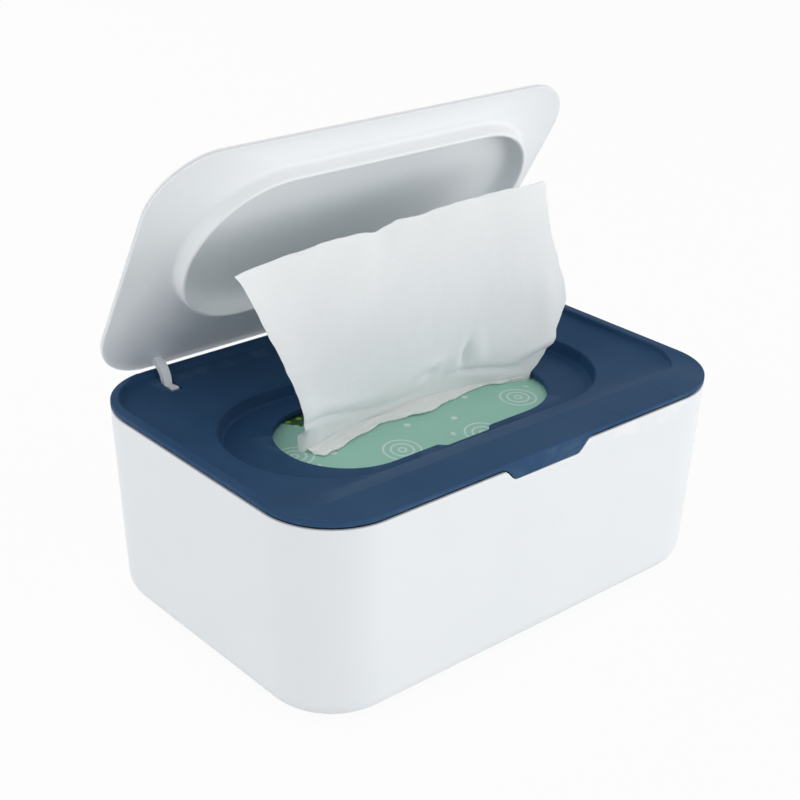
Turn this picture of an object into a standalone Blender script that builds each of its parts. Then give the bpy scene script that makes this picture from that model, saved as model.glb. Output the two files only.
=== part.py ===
"""Wipes dispenser: a moulded box, a drop-in cover with a dished deck, a double-walled lid on two
goose-neck arms, and the soft pack of wipes inside with one wipe pulled up.

Metres, +Z up. +X runs along the box, -Y is the front with the tongue, +Y the hinge side.
The origin is the middle of the box's flat underside. The lid is modelled open.
"""

from math import asin, copysign, cos, degrees, pi, radians, sin

import bmesh
import bpy
from mathutils import Vector

# Box
BOX_LENGTH = 0.190
BOX_WIDTH = 0.1316
BOX_HEIGHT = 0.0725
CORNER_RADIUS = 0.026
BASE_TAPER = 0.0027
CORNER_NARROWING = 0.001
BASE_FILLET = 0.0083
BOX_WALL = 0.0025
BOX_FLOOR = 0.0026
RIM_EDGE = 0.0004

# Feet
FOOT_RADIUS = 0.007
FOOT_SEAT = 0.001
FOOT_STAND = 0.0008
FOOT_INSET = 0.0126

# Running and parting gaps
PARTING = 0.0003
CLEARANCE = 0.0003

# Cover: rim, seat and skirt
RIM_HEIGHT = 0.0022
LIP_WIDTH = 0.0037
BACK_LIP_WIDTH = 0.0028
FRONT_BAND_WIDTH = 0.0154
SEAT_FRONT_RADIUS = 0.0198
SEAT_BACK_RADIUS = 0.022
SEAT_DEPTH = 0.00255
SEAT_DRAFT = 0.00015
SEAT_FILLET = 0.00115
LIP_ROUND = 0.0007
SKIRT_THICKNESS = 0.0018
SKIRT_DEPTH = 0.0068
COVER_WALL = 0.0022

# Cover: dished deck, oval recess and opening
RECESS_END_ROOM = 0.0150
RECESS_FRONT_ROOM = 0.0143
RECESS_EDGE_DROP = 0.0060
RECESS_FLOOR_DROP = 0.0111
RECESS_ROUND = 0.0006
RECESS_DRAFT = 0.0008
RECESS_FILLET = 0.0014
OPENING_END_ROOM = 0.0203
OPENING_SIDE_ROOM = 0.0106
OPENING_ROUND = 0.0003
NOTCH_TOP_WIDTH = 0.026
NOTCH_END_WIDTH = 0.018
NOTCH_DEPTH = 0.0027
STADIUM_FLAT = 0.0005

# Tongue at the front
TONGUE_WIDTH = 0.027
TONGUE_SHOULDER = 0.0065
TONGUE_DROP = 0.0045
TONGUE_THICKNESS = 0.0033
TONGUE_GAP = 0.00035

# Lid
LID_FRONT_ROOM = 0.0080
LID_CORNER_RADIUS = 0.0238
LID_WALL_DROP = 0.0090
LID_UNDERSIDE_DROP = 0.0037
LID_OVAL_END_GAP = 0.0027
LID_OVAL_SIDE_GAP = 0.0041
LID_OVAL_WALL = 0.0012
LID_DISH_DEPTH = 0.0067
LID_EDGE = 0.0006
LID_SHELL_HEIGHT = 0.0011
LID_CROWN = 0.0027
LID_SKIN = 0.0018
LID_CROWN_REACH = 0.0400
LID_ROUND = 0.0008
LID_RIM_LAND = 0.0022
LID_DISH_FILLET = 0.0100
LID_WALL_ROOT = 0.0022
LINER_FLANGE = 0.006
LID_OPEN_ANGLE = radians(60.27)

# Hinge: the axis lies just outside the back wall, and the arms' shoes run round it
AXIS_BEHIND_BOX = 0.00077
AXIS_BELOW_RIM = 0.00495
ARM_INSET = 0.030
ARM_WIDTH = 0.0028
ARM_INNER_RADIUS = 0.0070
ARM_OUTER_RADIUS = 0.0095
ARM_INNER_END_RADIUS = 0.0066
ARM_OUTER_END_RADIUS = 0.0088
ARM_BELLY = 0.0003
ARM_TAIL_ANGLE = radians(235.8)
FOOT_TIP_RADIUS = 0.0132
FOOT_FIRST_ANGLE = radians(233.8)
FOOT_LAST_ANGLE = radians(238.8)
LEG_INNER_RADIUS = 0.0110
LEG_OUTER_RADIUS = 0.0128
LEG_END_ANGLE = radians(248.3)
SHOE_FIRST_ANGLE = radians(241.3)
SHOE_SIDE = 0.0015
SHOE_MARGIN = 0.0002
RELIEF_GAP = 0.0003
# Hinge relief past the lid's straight back edge: how far out, and how much wider
RELIEF_STEPS = ((0.0048, 0.0), (0.0108, 0.0019), (0.0138, 0.0033))
FOOT_TIP_ROUND = 0.0006

# Keepers that hold the arms' shoes under the deck
KEEPER_CHEEK = 0.0025
KEEPER_FRONT_REACH = 0.0150
KEEPER_BACK_GAP = 0.0007
KEEPER_HEIGHT = 0.0129
KEEPER_HEAD_DROP = 0.0051
BRIDGE_THICKNESS = 0.0014
EAR_LENGTH = 0.0074
EAR_DEPTH = 0.0062
EAR_THICKNESS = 0.0015
BOSS_RADIUS = 0.0026
SCREW_RADIUS = 0.0010
SCREW_HEAD_RADIUS = 0.0019
SCREW_HEAD_HEIGHT = 0.0012
SCREW_REACH = 0.0030
SLOT_FRONT_REACH = 0.01457
SLOT_BACK_REACH = 0.00597
SLOT_SIDE_GAP = 0.0010

# Pack, stack and wipes
FILM_THICKNESS = 0.0005
PACK_END_ROOM = 0.0120
PACK_SIDE_ROOM = 0.0168
PACK_TOP_GAP = 0.0006
PACK_CORNER = 0.014
PACK_BASE = 0.0160
PACK_BASE_INSET = 0.0150
PACK_SHOULDER = 0.0170
SLIT_END_ROOM = 0.0030
SLIT_WIDTH = 0.0150
SLIT_ROUND = 0.0012
SLIT_SHIFT_X = 0.003
SLIT_FORWARD = 0.0035
STACK_INSET = 0.0040
STACK_CORNER = 0.006
STACK_BASE = 0.0170
STACK_BASE_INSET = 0.0145
STACK_SHOULDER = 0.0200
STACK_TOP_GAP = 0.0035
NEXT_WIPE_END_ROOM = 0.0045
NEXT_WIPE_WIDTH = 0.0080
NEXT_WIPE_STAND = 0.0008
NEXT_WIPE_ROUND = 0.0012
WIPE_THICKNESS = 0.0007
WIPE_FOOT_Y = 0.0015
WIPE_FOOT_BOW = 0.0080
WIPE_FOOT_TURN = 0.0045
WIPE_LEAN = 0.0035
WIPE_FOLD = 0.0016
WIPE_TOP_RISE = 0.0016
# Side edges of the pulled wipe: how far inside the opening's end, and height above the film
WIPE_LEFT_EDGE = (
    (0.0070, 0.0004),
    (0.0068, 0.0030),
    (0.0062, 0.0070),
    (0.0015, 0.0303),
    (-0.0135, 0.0580),
    (-0.0202, 0.0714),
)
WIPE_RIGHT_EDGE = (
    (0.0020, 0.0004),
    (0.0012, 0.0030),
    (-0.0045, 0.0064),
    (-0.0146, 0.0315),
    (-0.0080, 0.0560),
    (0.0020, 0.0778),
)

# Steps of the curves
CORNER_STEPS = 9
FILLET_STEPS = 5
ROUND_STEPS = 20
CURVE_STEPS = 8
ARC_STEP = radians(9.0)
SHARP_ANGLE = radians(32.0)
WIPE_COLUMNS = 26
WIPE_ROWS = 14

# Places that follow from the sizes
PARTING_HEIGHT = BOX_HEIGHT + PARTING
RIM_TOP = PARTING_HEIGHT + RIM_HEIGHT
SEAT_HALF_LENGTH = BOX_LENGTH / 2 - LIP_WIDTH
SEAT_FRONT = -BOX_WIDTH / 2 + FRONT_BAND_WIDTH
SEAT_BACK = BOX_WIDTH / 2 - BACK_LIP_WIDTH
RECESS_LENGTH = 2 * (SEAT_HALF_LENGTH - RECESS_END_ROOM)
RECESS_WIDTH = -2 * (SEAT_FRONT + RECESS_FRONT_ROOM)
OPENING_LENGTH = RECESS_LENGTH - 2 * OPENING_END_ROOM
OPENING_WIDTH = RECESS_WIDTH - 2 * OPENING_SIDE_ROOM
RECESS_EDGE = RIM_TOP - RECESS_EDGE_DROP
RECESS_FLOOR = RIM_TOP - RECESS_FLOOR_DROP
AXIS_Y = BOX_WIDTH / 2 + AXIS_BEHIND_BOX
AXIS_Z = RIM_TOP - AXIS_BELOW_RIM
LID_BACK = SEAT_BACK - CLEARANCE
LID_FRONT = SEAT_FRONT + LID_FRONT_ROOM
LID_OVAL_LENGTH = RECESS_LENGTH - 2 * LID_OVAL_END_GAP
LID_OVAL_WIDTH = RECESS_WIDTH - 2 * LID_OVAL_SIDE_GAP
ARM_SPACING = BOX_LENGTH - 2 * ARM_INSET
LID_HALF_LENGTH = SEAT_HALF_LENGTH - CLEARANCE
LID_PLANE = RECESS_FLOOR + LID_WALL_DROP + CLEARANCE
LID_SEAM = LID_PLANE + LID_EDGE
POCKET_ROOF = AXIS_Z + PARTING / 2
KEEPER_TOP = POCKET_ROOF - CLEARANCE
FILM_TOP = RECESS_FLOOR - COVER_WALL - PACK_TOP_GAP
PACK_LENGTH = BOX_LENGTH - 2 * PACK_END_ROOM
PACK_WIDTH = BOX_WIDTH - 2 * PACK_SIDE_ROOM
STACK_LENGTH = PACK_LENGTH - 2 * STACK_INSET
STACK_WIDTH = PACK_WIDTH - 2 * STACK_INSET
SLIT_LENGTH = OPENING_LENGTH - 2 * SLIT_END_ROOM
NEXT_WIPE_LENGTH = SLIT_LENGTH - 2 * NEXT_WIPE_END_ROOM


def clear_scene():
    """Empty the file of objects."""
    for item in list(bpy.data.objects):
        bpy.data.objects.remove(item, do_unlink=True)


def plain_material(name, colour, roughness, metallic=0.0):
    """A Principled material."""
    material = bpy.data.materials.new(name)
    material.use_nodes = True
    shader = material.node_tree.nodes["Principled BSDF"]
    shader.inputs["Base Color"].default_value = (*colour, 1.0)
    shader.inputs["Roughness"].default_value = roughness
    shader.inputs["Metallic"].default_value = metallic
    return material


def mix(low, high, share):
    """The value a share of the way from low to high."""
    return low + (high - low) * share


def ease(share):
    """A share with a smooth start and end."""
    return share * share * (3.0 - 2.0 * share)


# Outlines and skins


def outline(half_x, front, back, front_radius, back_radius=None):
    """Points of a rounded rectangle, counter-clockwise from its right back corner."""
    if back_radius is None:
        back_radius = front_radius
    corners = (
        (half_x - back_radius, back - back_radius, back_radius),
        (back_radius - half_x, back - back_radius, back_radius),
        (front_radius - half_x, front + front_radius, front_radius),
        (half_x - front_radius, front + front_radius, front_radius),
    )
    points = []
    for quarter, (centre_x, centre_y, radius) in enumerate(corners):
        for step in range(CORNER_STEPS + 1):
            angle = (quarter + step / CORNER_STEPS) * pi / 2
            points.append((centre_x + radius * cos(angle), centre_y + radius * sin(angle)))
    return points


def stadium(half_x, half_y):
    """An oval with straight sides, with as many points as any outline here."""
    return outline(half_x, -half_y, half_y, half_y - STADIUM_FLAT)


def slim_oval(half_x, half_y):
    """An oval with as many points as any outline here, spread along its long sides."""
    count = 4 * (CORNER_STEPS + 1)
    points = []
    for index in range(count):
        angle = 2 * pi * (index + 0.5) / count
        across = copysign(abs(sin(angle)) ** 0.5, sin(angle))
        points.append((half_x * cos(angle), half_y * across))
    return points


def front_share(index):
    """1 at the front of an outline, 0 at its sides and back, easing round the front corners."""
    quarter, step = divmod(index, CORNER_STEPS + 1)
    if quarter < 2:
        return 0.0
    progress = step / CORNER_STEPS
    return ease(progress if quarter == 2 else 1.0 - progress)


def level(points, height):
    """A ring at one height."""
    return [(x, y, height) for x, y in points]


def between(inner, outer, share):
    """The outline a share of the way from inner to outer."""
    return [
        (mix(a[0], b[0], share), mix(a[1], b[1], share)) for a, b in zip(inner, outer)
    ]


def finish_mesh(name, form, material):
    """Turn a bmesh into a smooth-shaded object of its own."""
    bmesh.ops.recalc_face_normals(form, faces=form.faces)
    mesh = bpy.data.meshes.new(name)
    form.to_mesh(mesh)
    form.free()
    mesh.shade_smooth()
    mesh.set_sharp_from_angle(angle=SHARP_ANGLE)
    mesh.materials.append(material)
    item = bpy.data.objects.new(name, mesh)
    bpy.context.scene.collection.objects.link(item)
    return item


def skin(name, rings, material, joined=False):
    """Skin rings of equal count: capped at both ends, or joined round into a closed band."""
    form = bmesh.new()
    rows = [[form.verts.new(point) for point in ring] for ring in rings]
    pairs = list(zip(rows, rows[1:]))
    if joined:
        pairs.append((rows[-1], rows[0]))
    count = len(rows[0])
    for low, high in pairs:
        for index in range(count):
            after = (index + 1) % count
            form.faces.new((low[index], low[after], high[after], high[index]))
    if not joined:
        form.faces.new(list(reversed(rows[0])))
        form.faces.new(rows[-1])
    return finish_mesh(name, form, material)


def prism(name, profile, low, high, material, axis="X"):
    """A flat profile drawn out along an axis: (y, z) points along X, or (x, y) points along Z."""
    form = bmesh.new()
    ends = []
    for place in (low, high):
        if axis == "X":
            ends.append([form.verts.new((place, a, b)) for a, b in profile])
        else:
            ends.append([form.verts.new((a, b, place)) for a, b in profile])
    count = len(profile)
    for index in range(count):
        after = (index + 1) % count
        form.faces.new((ends[0][index], ends[0][after], ends[1][after], ends[1][index]))
    form.faces.new(list(reversed(ends[0])))
    form.faces.new(ends[1])
    return finish_mesh(name, form, material)


def block(name, low, high, material):
    """A plain block between two corners."""
    profile = [(low[0], low[1]), (high[0], low[1]), (high[0], high[1]), (low[0], high[1])]
    return prism(name, profile, low[2], high[2], material, axis="Z")


def disc(name, centre, radius, low, high, material):
    """An upright cylinder."""
    profile = []
    for step in range(ROUND_STEPS):
        angle = 2 * pi * step / ROUND_STEPS
        profile.append((centre[0] + radius * cos(angle), centre[1] + radius * sin(angle)))
    return prism(name, profile, low, high, material, axis="Z")


def work(target, tool, operation):
    """Cut, or add, a tool that stays out of the finished model."""
    tool.hide_render = True
    tool.display_type = "WIRE"
    change = target.modifiers.new(f"{operation.title()} {tool.name}", "BOOLEAN")
    change.operation = operation
    change.solver = "EXACT"
    change.object = tool
    return target


def cut(target, tool):
    """Take the tool's form out of the target."""
    return work(target, tool, "DIFFERENCE")


def add(target, tool):
    """Fuse the tool's form with the target."""
    return work(target, tool, "UNION")


# Box and feet


def box_outline(height, inset=0.0):
    """The box's plan at a height, drawn in by an inset."""
    share = 1.0 - height / BOX_HEIGHT
    drawn = BASE_TAPER * share + inset
    radius = CORNER_RADIUS - CORNER_NARROWING * share - inset
    half_y = BOX_WIDTH / 2 - drawn
    return outline(BOX_LENGTH / 2 - drawn, -half_y, half_y, radius)


def base_rings(radius, floor, wall):
    """Rings of a filleted base, from the flat floor up the wall."""
    rings = []
    for step in range(FILLET_STEPS + 1):
        angle = step / FILLET_STEPS * pi / 2
        height = floor + radius * (1.0 - cos(angle))
        rings.append(level(box_outline(height, wall + radius * (1.0 - sin(angle))), height))
    return rings


def tongue_outline(gap, top):
    """The tongue's front view in (x, z): a straight foot with S-curved shoulders."""
    foot = PARTING_HEIGHT - TONGUE_DROP - gap
    curve = []
    for step in range(CURVE_STEPS + 1):
        share = step / CURVE_STEPS
        x = TONGUE_WIDTH / 2 + gap + TONGUE_SHOULDER * share
        z = foot + TONGUE_DROP * (1.0 - cos(pi * share)) / 2
        curve.append((x, z))
    right = curve + [(curve[-1][0], top)]
    left = [(-x, z) for x, z in reversed(right)]
    return left + right


def tongue_body(name, gap, top, front_out, depth, material):
    """The tongue as a solid that leans with the box's front wall."""
    form = bmesh.new()
    rows = []
    for back in (0.0, depth):
        row = []
        for x, z in tongue_outline(gap, top):
            lean = BASE_TAPER * max(0.0, 1.0 - z / BOX_HEIGHT)
            row.append(form.verts.new((x, lean - BOX_WIDTH / 2 - front_out + back, z)))
        rows.append(row)
    count = len(rows[0])
    for index in range(count):
        after = (index + 1) % count
        form.faces.new((rows[0][index], rows[0][after], rows[1][after], rows[1][index]))
    form.faces.new(list(reversed(rows[0])))
    form.faces.new(rows[1])
    return finish_mesh(name, form, material)


def foot_places():
    """Names and places of the four feet."""
    reach_x = BOX_LENGTH / 2 - BASE_TAPER - BASE_FILLET - FOOT_INSET
    reach_y = BOX_WIDTH / 2 - BASE_TAPER - BASE_FILLET - FOOT_INSET
    for end, side_y in (("front", -1), ("back", 1)):
        for hand, side_x in (("left", -1), ("right", 1)):
            yield f"foot_{end}_{hand}", (side_x * reach_x, side_y * reach_y)


def make_box(material):
    """The open box, with the notch for the tongue and seats for the feet."""
    rings = base_rings(BASE_FILLET, 0.0, 0.0)
    rings.append(level(box_outline(BOX_HEIGHT - RIM_EDGE), BOX_HEIGHT - RIM_EDGE))
    rings.append(level(box_outline(BOX_HEIGHT, RIM_EDGE), BOX_HEIGHT))
    rings.append(level(box_outline(BOX_HEIGHT, BOX_WALL - RIM_EDGE), BOX_HEIGHT))
    rings.append(level(box_outline(BOX_HEIGHT - RIM_EDGE, BOX_WALL), BOX_HEIGHT - RIM_EDGE))
    rings.extend(reversed(base_rings(BASE_FILLET - BOX_WALL, BOX_FLOOR, BOX_WALL)))
    box = skin("box", rings, material)
    above = BOX_HEIGHT + TONGUE_THICKNESS
    cut(box, tongue_body("tongue_notch", TONGUE_GAP, above, BOX_WALL, BOX_WALL * 4, material))
    radius = FOOT_RADIUS + CLEARANCE
    for name, centre in foot_places():
        cut(box, disc(f"{name}_seat", centre, radius, -FOOT_SEAT, FOOT_SEAT, material))
    return box


def make_feet(material):
    """Soft round pads let into the underside."""
    for name, centre in foot_places():
        disc(name, centre, FOOT_RADIUS, -FOOT_STAND, FOOT_SEAT - CLEARANCE, material)


# Cover


def rim_outline(inset):
    """The cover's outer plan, drawn in by an inset."""
    half_y = BOX_WIDTH / 2 - inset
    return outline(BOX_LENGTH / 2 - inset, -half_y, half_y, CORNER_RADIUS - inset)


def seat_outline(spread):
    """The lid seat's plan, widened by a spread."""
    return outline(
        SEAT_HALF_LENGTH + spread,
        SEAT_FRONT - spread,
        SEAT_BACK + spread,
        SEAT_FRONT_RADIUS + spread,
        SEAT_BACK_RADIUS + spread,
    )


def recess_outline(spread):
    """The oval recess's plan, widened by a spread."""
    return stadium(RECESS_LENGTH / 2 + spread, RECESS_WIDTH / 2 + spread)


def opening_outline(spread):
    """The dispensing opening's plan, widened by a spread."""
    return stadium(OPENING_LENGTH / 2 + spread, OPENING_WIDTH / 2 + spread)


def front_slope(y):
    """Height of the finger scoop between the front band and the recess."""
    share = (y - SEAT_FRONT) / (-RECESS_WIDTH / 2 - SEAT_FRONT)
    share = min(1.0, max(0.0, share))
    return RIM_TOP - RECESS_EDGE_DROP * (0.8 * share + 0.2 * share * share)


def deck_ring(points, side_height, below=0.0):
    """A ring on the deck: the side height, or the finger scoop where it faces the front."""
    ring = []
    for index, (x, y) in enumerate(points):
        height = mix(side_height, front_slope(y), front_share(index))
        ring.append((x, y, height - below))
    return ring


def seat_rings():
    """Rings over the lip and down the seat's wall."""
    steps = (
        (LIP_ROUND, 0.0),
        (LIP_ROUND * 0.36, LIP_ROUND * 0.17),
        (0.0, LIP_ROUND * 0.71),
        (-SEAT_DRAFT, SEAT_DEPTH - SEAT_FILLET * 0.61),
        (-SEAT_DRAFT - SEAT_FILLET * 0.39, SEAT_DEPTH - SEAT_FILLET * 0.17),
        (-SEAT_DRAFT - SEAT_FILLET, SEAT_DEPTH),
    )
    return [deck_ring(seat_outline(spread), RIM_TOP - drop) for spread, drop in steps]


def dish_rings(inner, outer, first_height, last_height, below=0.0):
    """Rings across the dished deck, from the seat to the recess."""
    rings = []
    for share in (0.25, 0.5, 0.75):
        height = mix(first_height, last_height, share)
        rings.append(deck_ring(between(outer, inner, share), height, below))
    return rings


def make_cover(material):
    """The drop-in cover, one closed band of rings round its opening."""
    seat_floor = RIM_TOP - SEAT_DEPTH
    edge = RIM_EDGE
    skirt_out = BOX_WALL + CLEARANCE
    skirt_in = skirt_out + SKIRT_THICKNESS
    skirt_bottom = PARTING_HEIGHT - SKIRT_DEPTH
    skirt_lean = BASE_TAPER * SKIRT_DEPTH / BOX_HEIGHT
    under_floor = RECESS_FLOOR - COVER_WALL
    under_seat = seat_outline(-COVER_WALL - edge)
    under_edge = recess_outline(COVER_WALL + edge)
    rings = [
        level(rim_outline(0.0), PARTING_HEIGHT),
        level(rim_outline(0.0), RIM_TOP - edge),
        level(rim_outline(edge * 0.3), RIM_TOP - edge * 0.3),
        level(rim_outline(edge), RIM_TOP),
    ]
    rings += seat_rings()
    dish_edge = recess_outline(RECESS_ROUND)
    seat_edge = seat_outline(-SEAT_DRAFT - SEAT_FILLET)
    rings += dish_rings(dish_edge, seat_edge, seat_floor, RECESS_EDGE)
    foot = RECESS_DRAFT + RECESS_FILLET
    rings += [
        level(dish_edge, RECESS_EDGE + RECESS_ROUND * 0.08),
        level(recess_outline(RECESS_ROUND * 0.17), RECESS_EDGE - RECESS_ROUND * 0.33),
        level(recess_outline(-RECESS_ROUND * 0.17), RECESS_EDGE - RECESS_ROUND * 1.17),
        level(recess_outline(-RECESS_DRAFT), RECESS_FLOOR + RECESS_FILLET * 0.71),
        level(recess_outline(RECESS_FILLET * 0.64 - foot), RECESS_FLOOR + RECESS_FILLET * 0.21),
        level(recess_outline(-foot), RECESS_FLOOR),
        level(opening_outline(OPENING_ROUND), RECESS_FLOOR),
        level(opening_outline(0.0), RECESS_FLOOR - OPENING_ROUND),
        level(opening_outline(0.0), under_floor),
        level(recess_outline(0.0), under_floor),
        level(recess_outline(RECESS_DRAFT), under_floor + RECESS_FILLET / 2),
        level(recess_outline(COVER_WALL - SEAT_DRAFT), RECESS_EDGE - COVER_WALL - PARTING),
        level(under_edge, RECESS_EDGE - COVER_WALL),
    ]
    under = dish_rings(under_edge, under_seat, seat_floor, RECESS_EDGE, COVER_WALL)
    rings += reversed(under)
    rings.append(deck_ring(under_seat, seat_floor, COVER_WALL))
    rings += [
        level(rim_outline(skirt_in), seat_floor - COVER_WALL),
        level(rim_outline(skirt_in + skirt_lean), skirt_bottom),
        level(rim_outline(skirt_out + skirt_lean), skirt_bottom),
        level(rim_outline(skirt_out), PARTING_HEIGHT),
    ]
    cover = skin("cover", rings, material, joined=True)
    root = PARTING_HEIGHT + RIM_HEIGHT / 2
    add(cover, tongue_body("tongue", 0.0, root, 0.0, TONGUE_THICKNESS, material))
    boss_root = RECESS_EDGE + COVER_WALL / 2
    for index, centre in enumerate(screw_places()):
        add(cover, disc(f"boss_{index}", centre, BOSS_RADIUS, boss_end(), boss_root, material))
    cut(cover, finger_notch(material))
    cut(cover, hinge_relief(material))
    for hand, side in HANDS:
        cut(cover, arm_slot(hand, side, material))
        cut(cover, keeper_pocket(hand, side, material))
    top = boss_end() + SCREW_REACH + CLEARANCE
    low = boss_end() - SCREW_REACH
    for index, centre in enumerate(screw_places()):
        cut(cover, disc(f"hole_{index}", centre, SCREW_RADIUS + CLEARANCE, low, top, material))
    return cover


def finger_notch(material):
    """A shallow notch with S-curved ends in the opening's front edge."""
    line = -OPENING_WIDTH / 2
    curve = []
    for step in range(CURVE_STEPS + 1):
        share = step / CURVE_STEPS
        x = mix(NOTCH_END_WIDTH, NOTCH_TOP_WIDTH, share) / 2
        y = line - NOTCH_DEPTH * (1.0 + cos(pi * share)) / 2
        curve.append((x, y))
    right = curve + [(curve[-1][0], line + NOTCH_DEPTH)]
    left = [(-x, y) for x, y in reversed(right)]
    low = RECESS_FLOOR - COVER_WALL * 2
    return prism("finger_notch", left + right, low, RIM_TOP, material, axis="Z")


def relief_station(x, radius):
    """One cross-section of the hinge relief: everything above an arc round the axis."""
    section = []
    for step in range(FILLET_STEPS * 2 + 1):
        angle = mix(radians(62), radians(150), step / (FILLET_STEPS * 2))
        section.append((x, AXIS_Y + radius * cos(angle), AXIS_Z + radius * sin(angle)))
    top = RIM_TOP + RIM_HEIGHT
    section.append((x, section[-1][1], top))
    section.append((x, section[0][1], top))
    return section


def hinge_relief(material):
    """Rounds the back lip off round the axis, where the lid's edge swings over it."""
    least = lid_edge_radius() - RELIEF_GAP
    straight = LID_HALF_LENGTH - LID_CORNER_RADIUS
    stations = [(straight + out, least + wider) for out, wider in RELIEF_STEPS]
    rings = [relief_station(-x, radius) for x, radius in reversed(stations)]
    rings += [relief_station(x, radius) for x, radius in stations]
    return skin("hinge_relief", rings, material)


def arm_slot(hand, side, material):
    """The slot in the deck that the arm goes down through."""
    half = ARM_WIDTH / 2 + SLOT_SIDE_GAP
    centre = side * ARM_SPACING / 2
    low = (centre - half, AXIS_Y - SLOT_FRONT_REACH, RECESS_FLOOR)
    high = (centre + half, AXIS_Y - SLOT_BACK_REACH, RIM_TOP + RIM_HEIGHT)
    return block(f"arm_slot_{hand}", low, high, material)


def keeper_half_width():
    """From the arm's middle to a keeper's outer face."""
    return ARM_WIDTH / 2 + CLEARANCE + KEEPER_CHEEK


def keeper_pocket(hand, side, material):
    """Room under the deck and through the skirt for the keeper and the arm's tail."""
    half = keeper_half_width() + CLEARANCE
    centre = side * ARM_SPACING / 2
    low = (centre - half, AXIS_Y - KEEPER_FRONT_REACH - CLEARANCE, BOX_FLOOR)
    high = (centre + half, BOX_WIDTH / 2 - BOX_WALL / 2, POCKET_ROOF)
    return block(f"keeper_pocket_{hand}", low, high, material)


# Hinge keepers


def ear_top():
    """Height of the ears' upper faces."""
    return AXIS_Z - KEEPER_HEAD_DROP


def boss_end():
    """Height at which the bosses stop, just above the ears."""
    return ear_top() + CLEARANCE


def screw_places():
    """Where the keepers' screws go up into the bosses."""
    y = AXIS_Y - KEEPER_FRONT_REACH + EAR_DEPTH / 2
    for _, side in HANDS:
        for way in (-1, 1):
            yield (side * ARM_SPACING / 2 + way * (keeper_half_width() + EAR_LENGTH / 2), y)


def turned(radius, angle):
    """A point round the hinge axis, in (y, z)."""
    return (AXIS_Y + radius * cos(angle), AXIS_Z + radius * sin(angle))


def arc(radius, first, last):
    """Points round the hinge axis from one angle to another."""
    steps = max(1, round(abs(last - first) / ARC_STEP))
    return [(radius, mix(first, last, step / steps)) for step in range(steps + 1)]


def groove(name, centre, material):
    """The curved groove that a shoe runs in, from the open stop to past the closed place."""
    inner = LEG_INNER_RADIUS + SHOE_MARGIN - CLEARANCE
    outer = LEG_OUTER_RADIUS - SHOE_MARGIN + CLEARANCE
    first = SHOE_FIRST_ANGLE - LID_OPEN_ANGLE - radians(6.0)
    last = LEG_END_ANGLE + radians(8.0)
    profile = [turned(*point) for point in arc(inner, first, last) + arc(outer, last, first)]
    half = ARM_WIDTH / 2 + SHOE_SIDE + CLEARANCE
    return prism(name, profile, centre - half, centre + half, material)


def make_keeper(hand, side, material):
    """Two cheeks with curved grooves, a bridge in front and an ear each side."""
    centre = side * ARM_SPACING / 2
    half = keeper_half_width()
    front = AXIS_Y - KEEPER_FRONT_REACH
    back = BOX_WIDTH / 2 - BOX_WALL - CLEARANCE - KEEPER_BACK_GAP
    bottom = KEEPER_TOP - KEEPER_HEIGHT
    way_half = ARM_WIDTH / 2 + CLEARANCE
    low = (centre - half, front, bottom)
    keeper = block(f"keeper_{hand}", low, (centre + half, back, KEEPER_TOP), material)
    past = (centre + way_half, back + CLEARANCE, KEEPER_TOP + CLEARANCE)
    low = (centre - way_half, front + BRIDGE_THICKNESS, bottom - CLEARANCE)
    cut(keeper, block(f"way_{hand}", low, past, material))
    low = (centre - way_half, front - CLEARANCE, ear_top())
    cut(keeper, block(f"head_way_{hand}", low, past, material))
    cut(keeper, groove(f"groove_{hand}", centre, material))
    for way in (-1, 1):
        inner = centre + way * (half - KEEPER_CHEEK / 4)
        outer = centre + way * (half + EAR_LENGTH)
        low = (min(inner, outer), front, ear_top() - EAR_THICKNESS)
        high = (max(inner, outer), front + EAR_DEPTH, ear_top())
        add(keeper, block(f"ear_{hand}_{way}", low, high, material))
    radius = SCREW_RADIUS + CLEARANCE
    for index, place in enumerate(screw_places()):
        if place[0] * side > 0:
            cut(keeper, disc(f"ear_hole_{index}", place, radius, bottom, KEEPER_TOP, material))
    return keeper


def make_screws(material):
    """The round-headed screws that hold the keepers, two to each."""
    under = ear_top() - EAR_THICKNESS - CLEARANCE
    tip = boss_end() + SCREW_REACH
    levels = (
        (SCREW_HEAD_RADIUS * 0.8, under - SCREW_HEAD_HEIGHT),
        (SCREW_HEAD_RADIUS, under - SCREW_HEAD_HEIGHT * 0.7),
        (SCREW_HEAD_RADIUS, under),
        (SCREW_RADIUS, under),
        (SCREW_RADIUS, tip - SCREW_RADIUS * 0.5),
        (SCREW_RADIUS * 0.5, tip),
    )
    names = ("left_outer", "left_inner", "right_inner", "right_outer")
    for name, centre in zip(names, screw_places()):
        rings = []
        for radius, height in levels:
            ring = []
            for step in range(ROUND_STEPS):
                angle = 2 * pi * step / ROUND_STEPS
                x = centre[0] + radius * cos(angle)
                ring.append((x, centre[1] + radius * sin(angle), height))
            rings.append(ring)
        skin(f"keeper_screw_{name}", rings, material)


# Lid


def lid_edge_radius():
    """The lid's least distance from the hinge axis, at its outline."""
    return ((AXIS_Y - LID_BACK) ** 2 + (LID_PLANE - AXIS_Z) ** 2) ** 0.5


def lid_outline(inset):
    """The lid's plan, drawn in by an inset."""
    radius = max(LID_CORNER_RADIUS - inset * 0.55, LID_CORNER_RADIUS / 4)
    return outline(LID_HALF_LENGTH - inset, LID_FRONT + inset, LID_BACK - inset, radius)


def oval_outline(spread):
    """The lid's oval wall's plan, widened by a spread."""
    return stadium(LID_OVAL_LENGTH / 2 + spread, LID_OVAL_WIDTH / 2 + spread)


def about_axis(ring):
    """A closed-lid ring, taken from the hinge axis."""
    return [(x, y - AXIS_Y, z - AXIS_Z) for x, y, z in ring]


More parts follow.
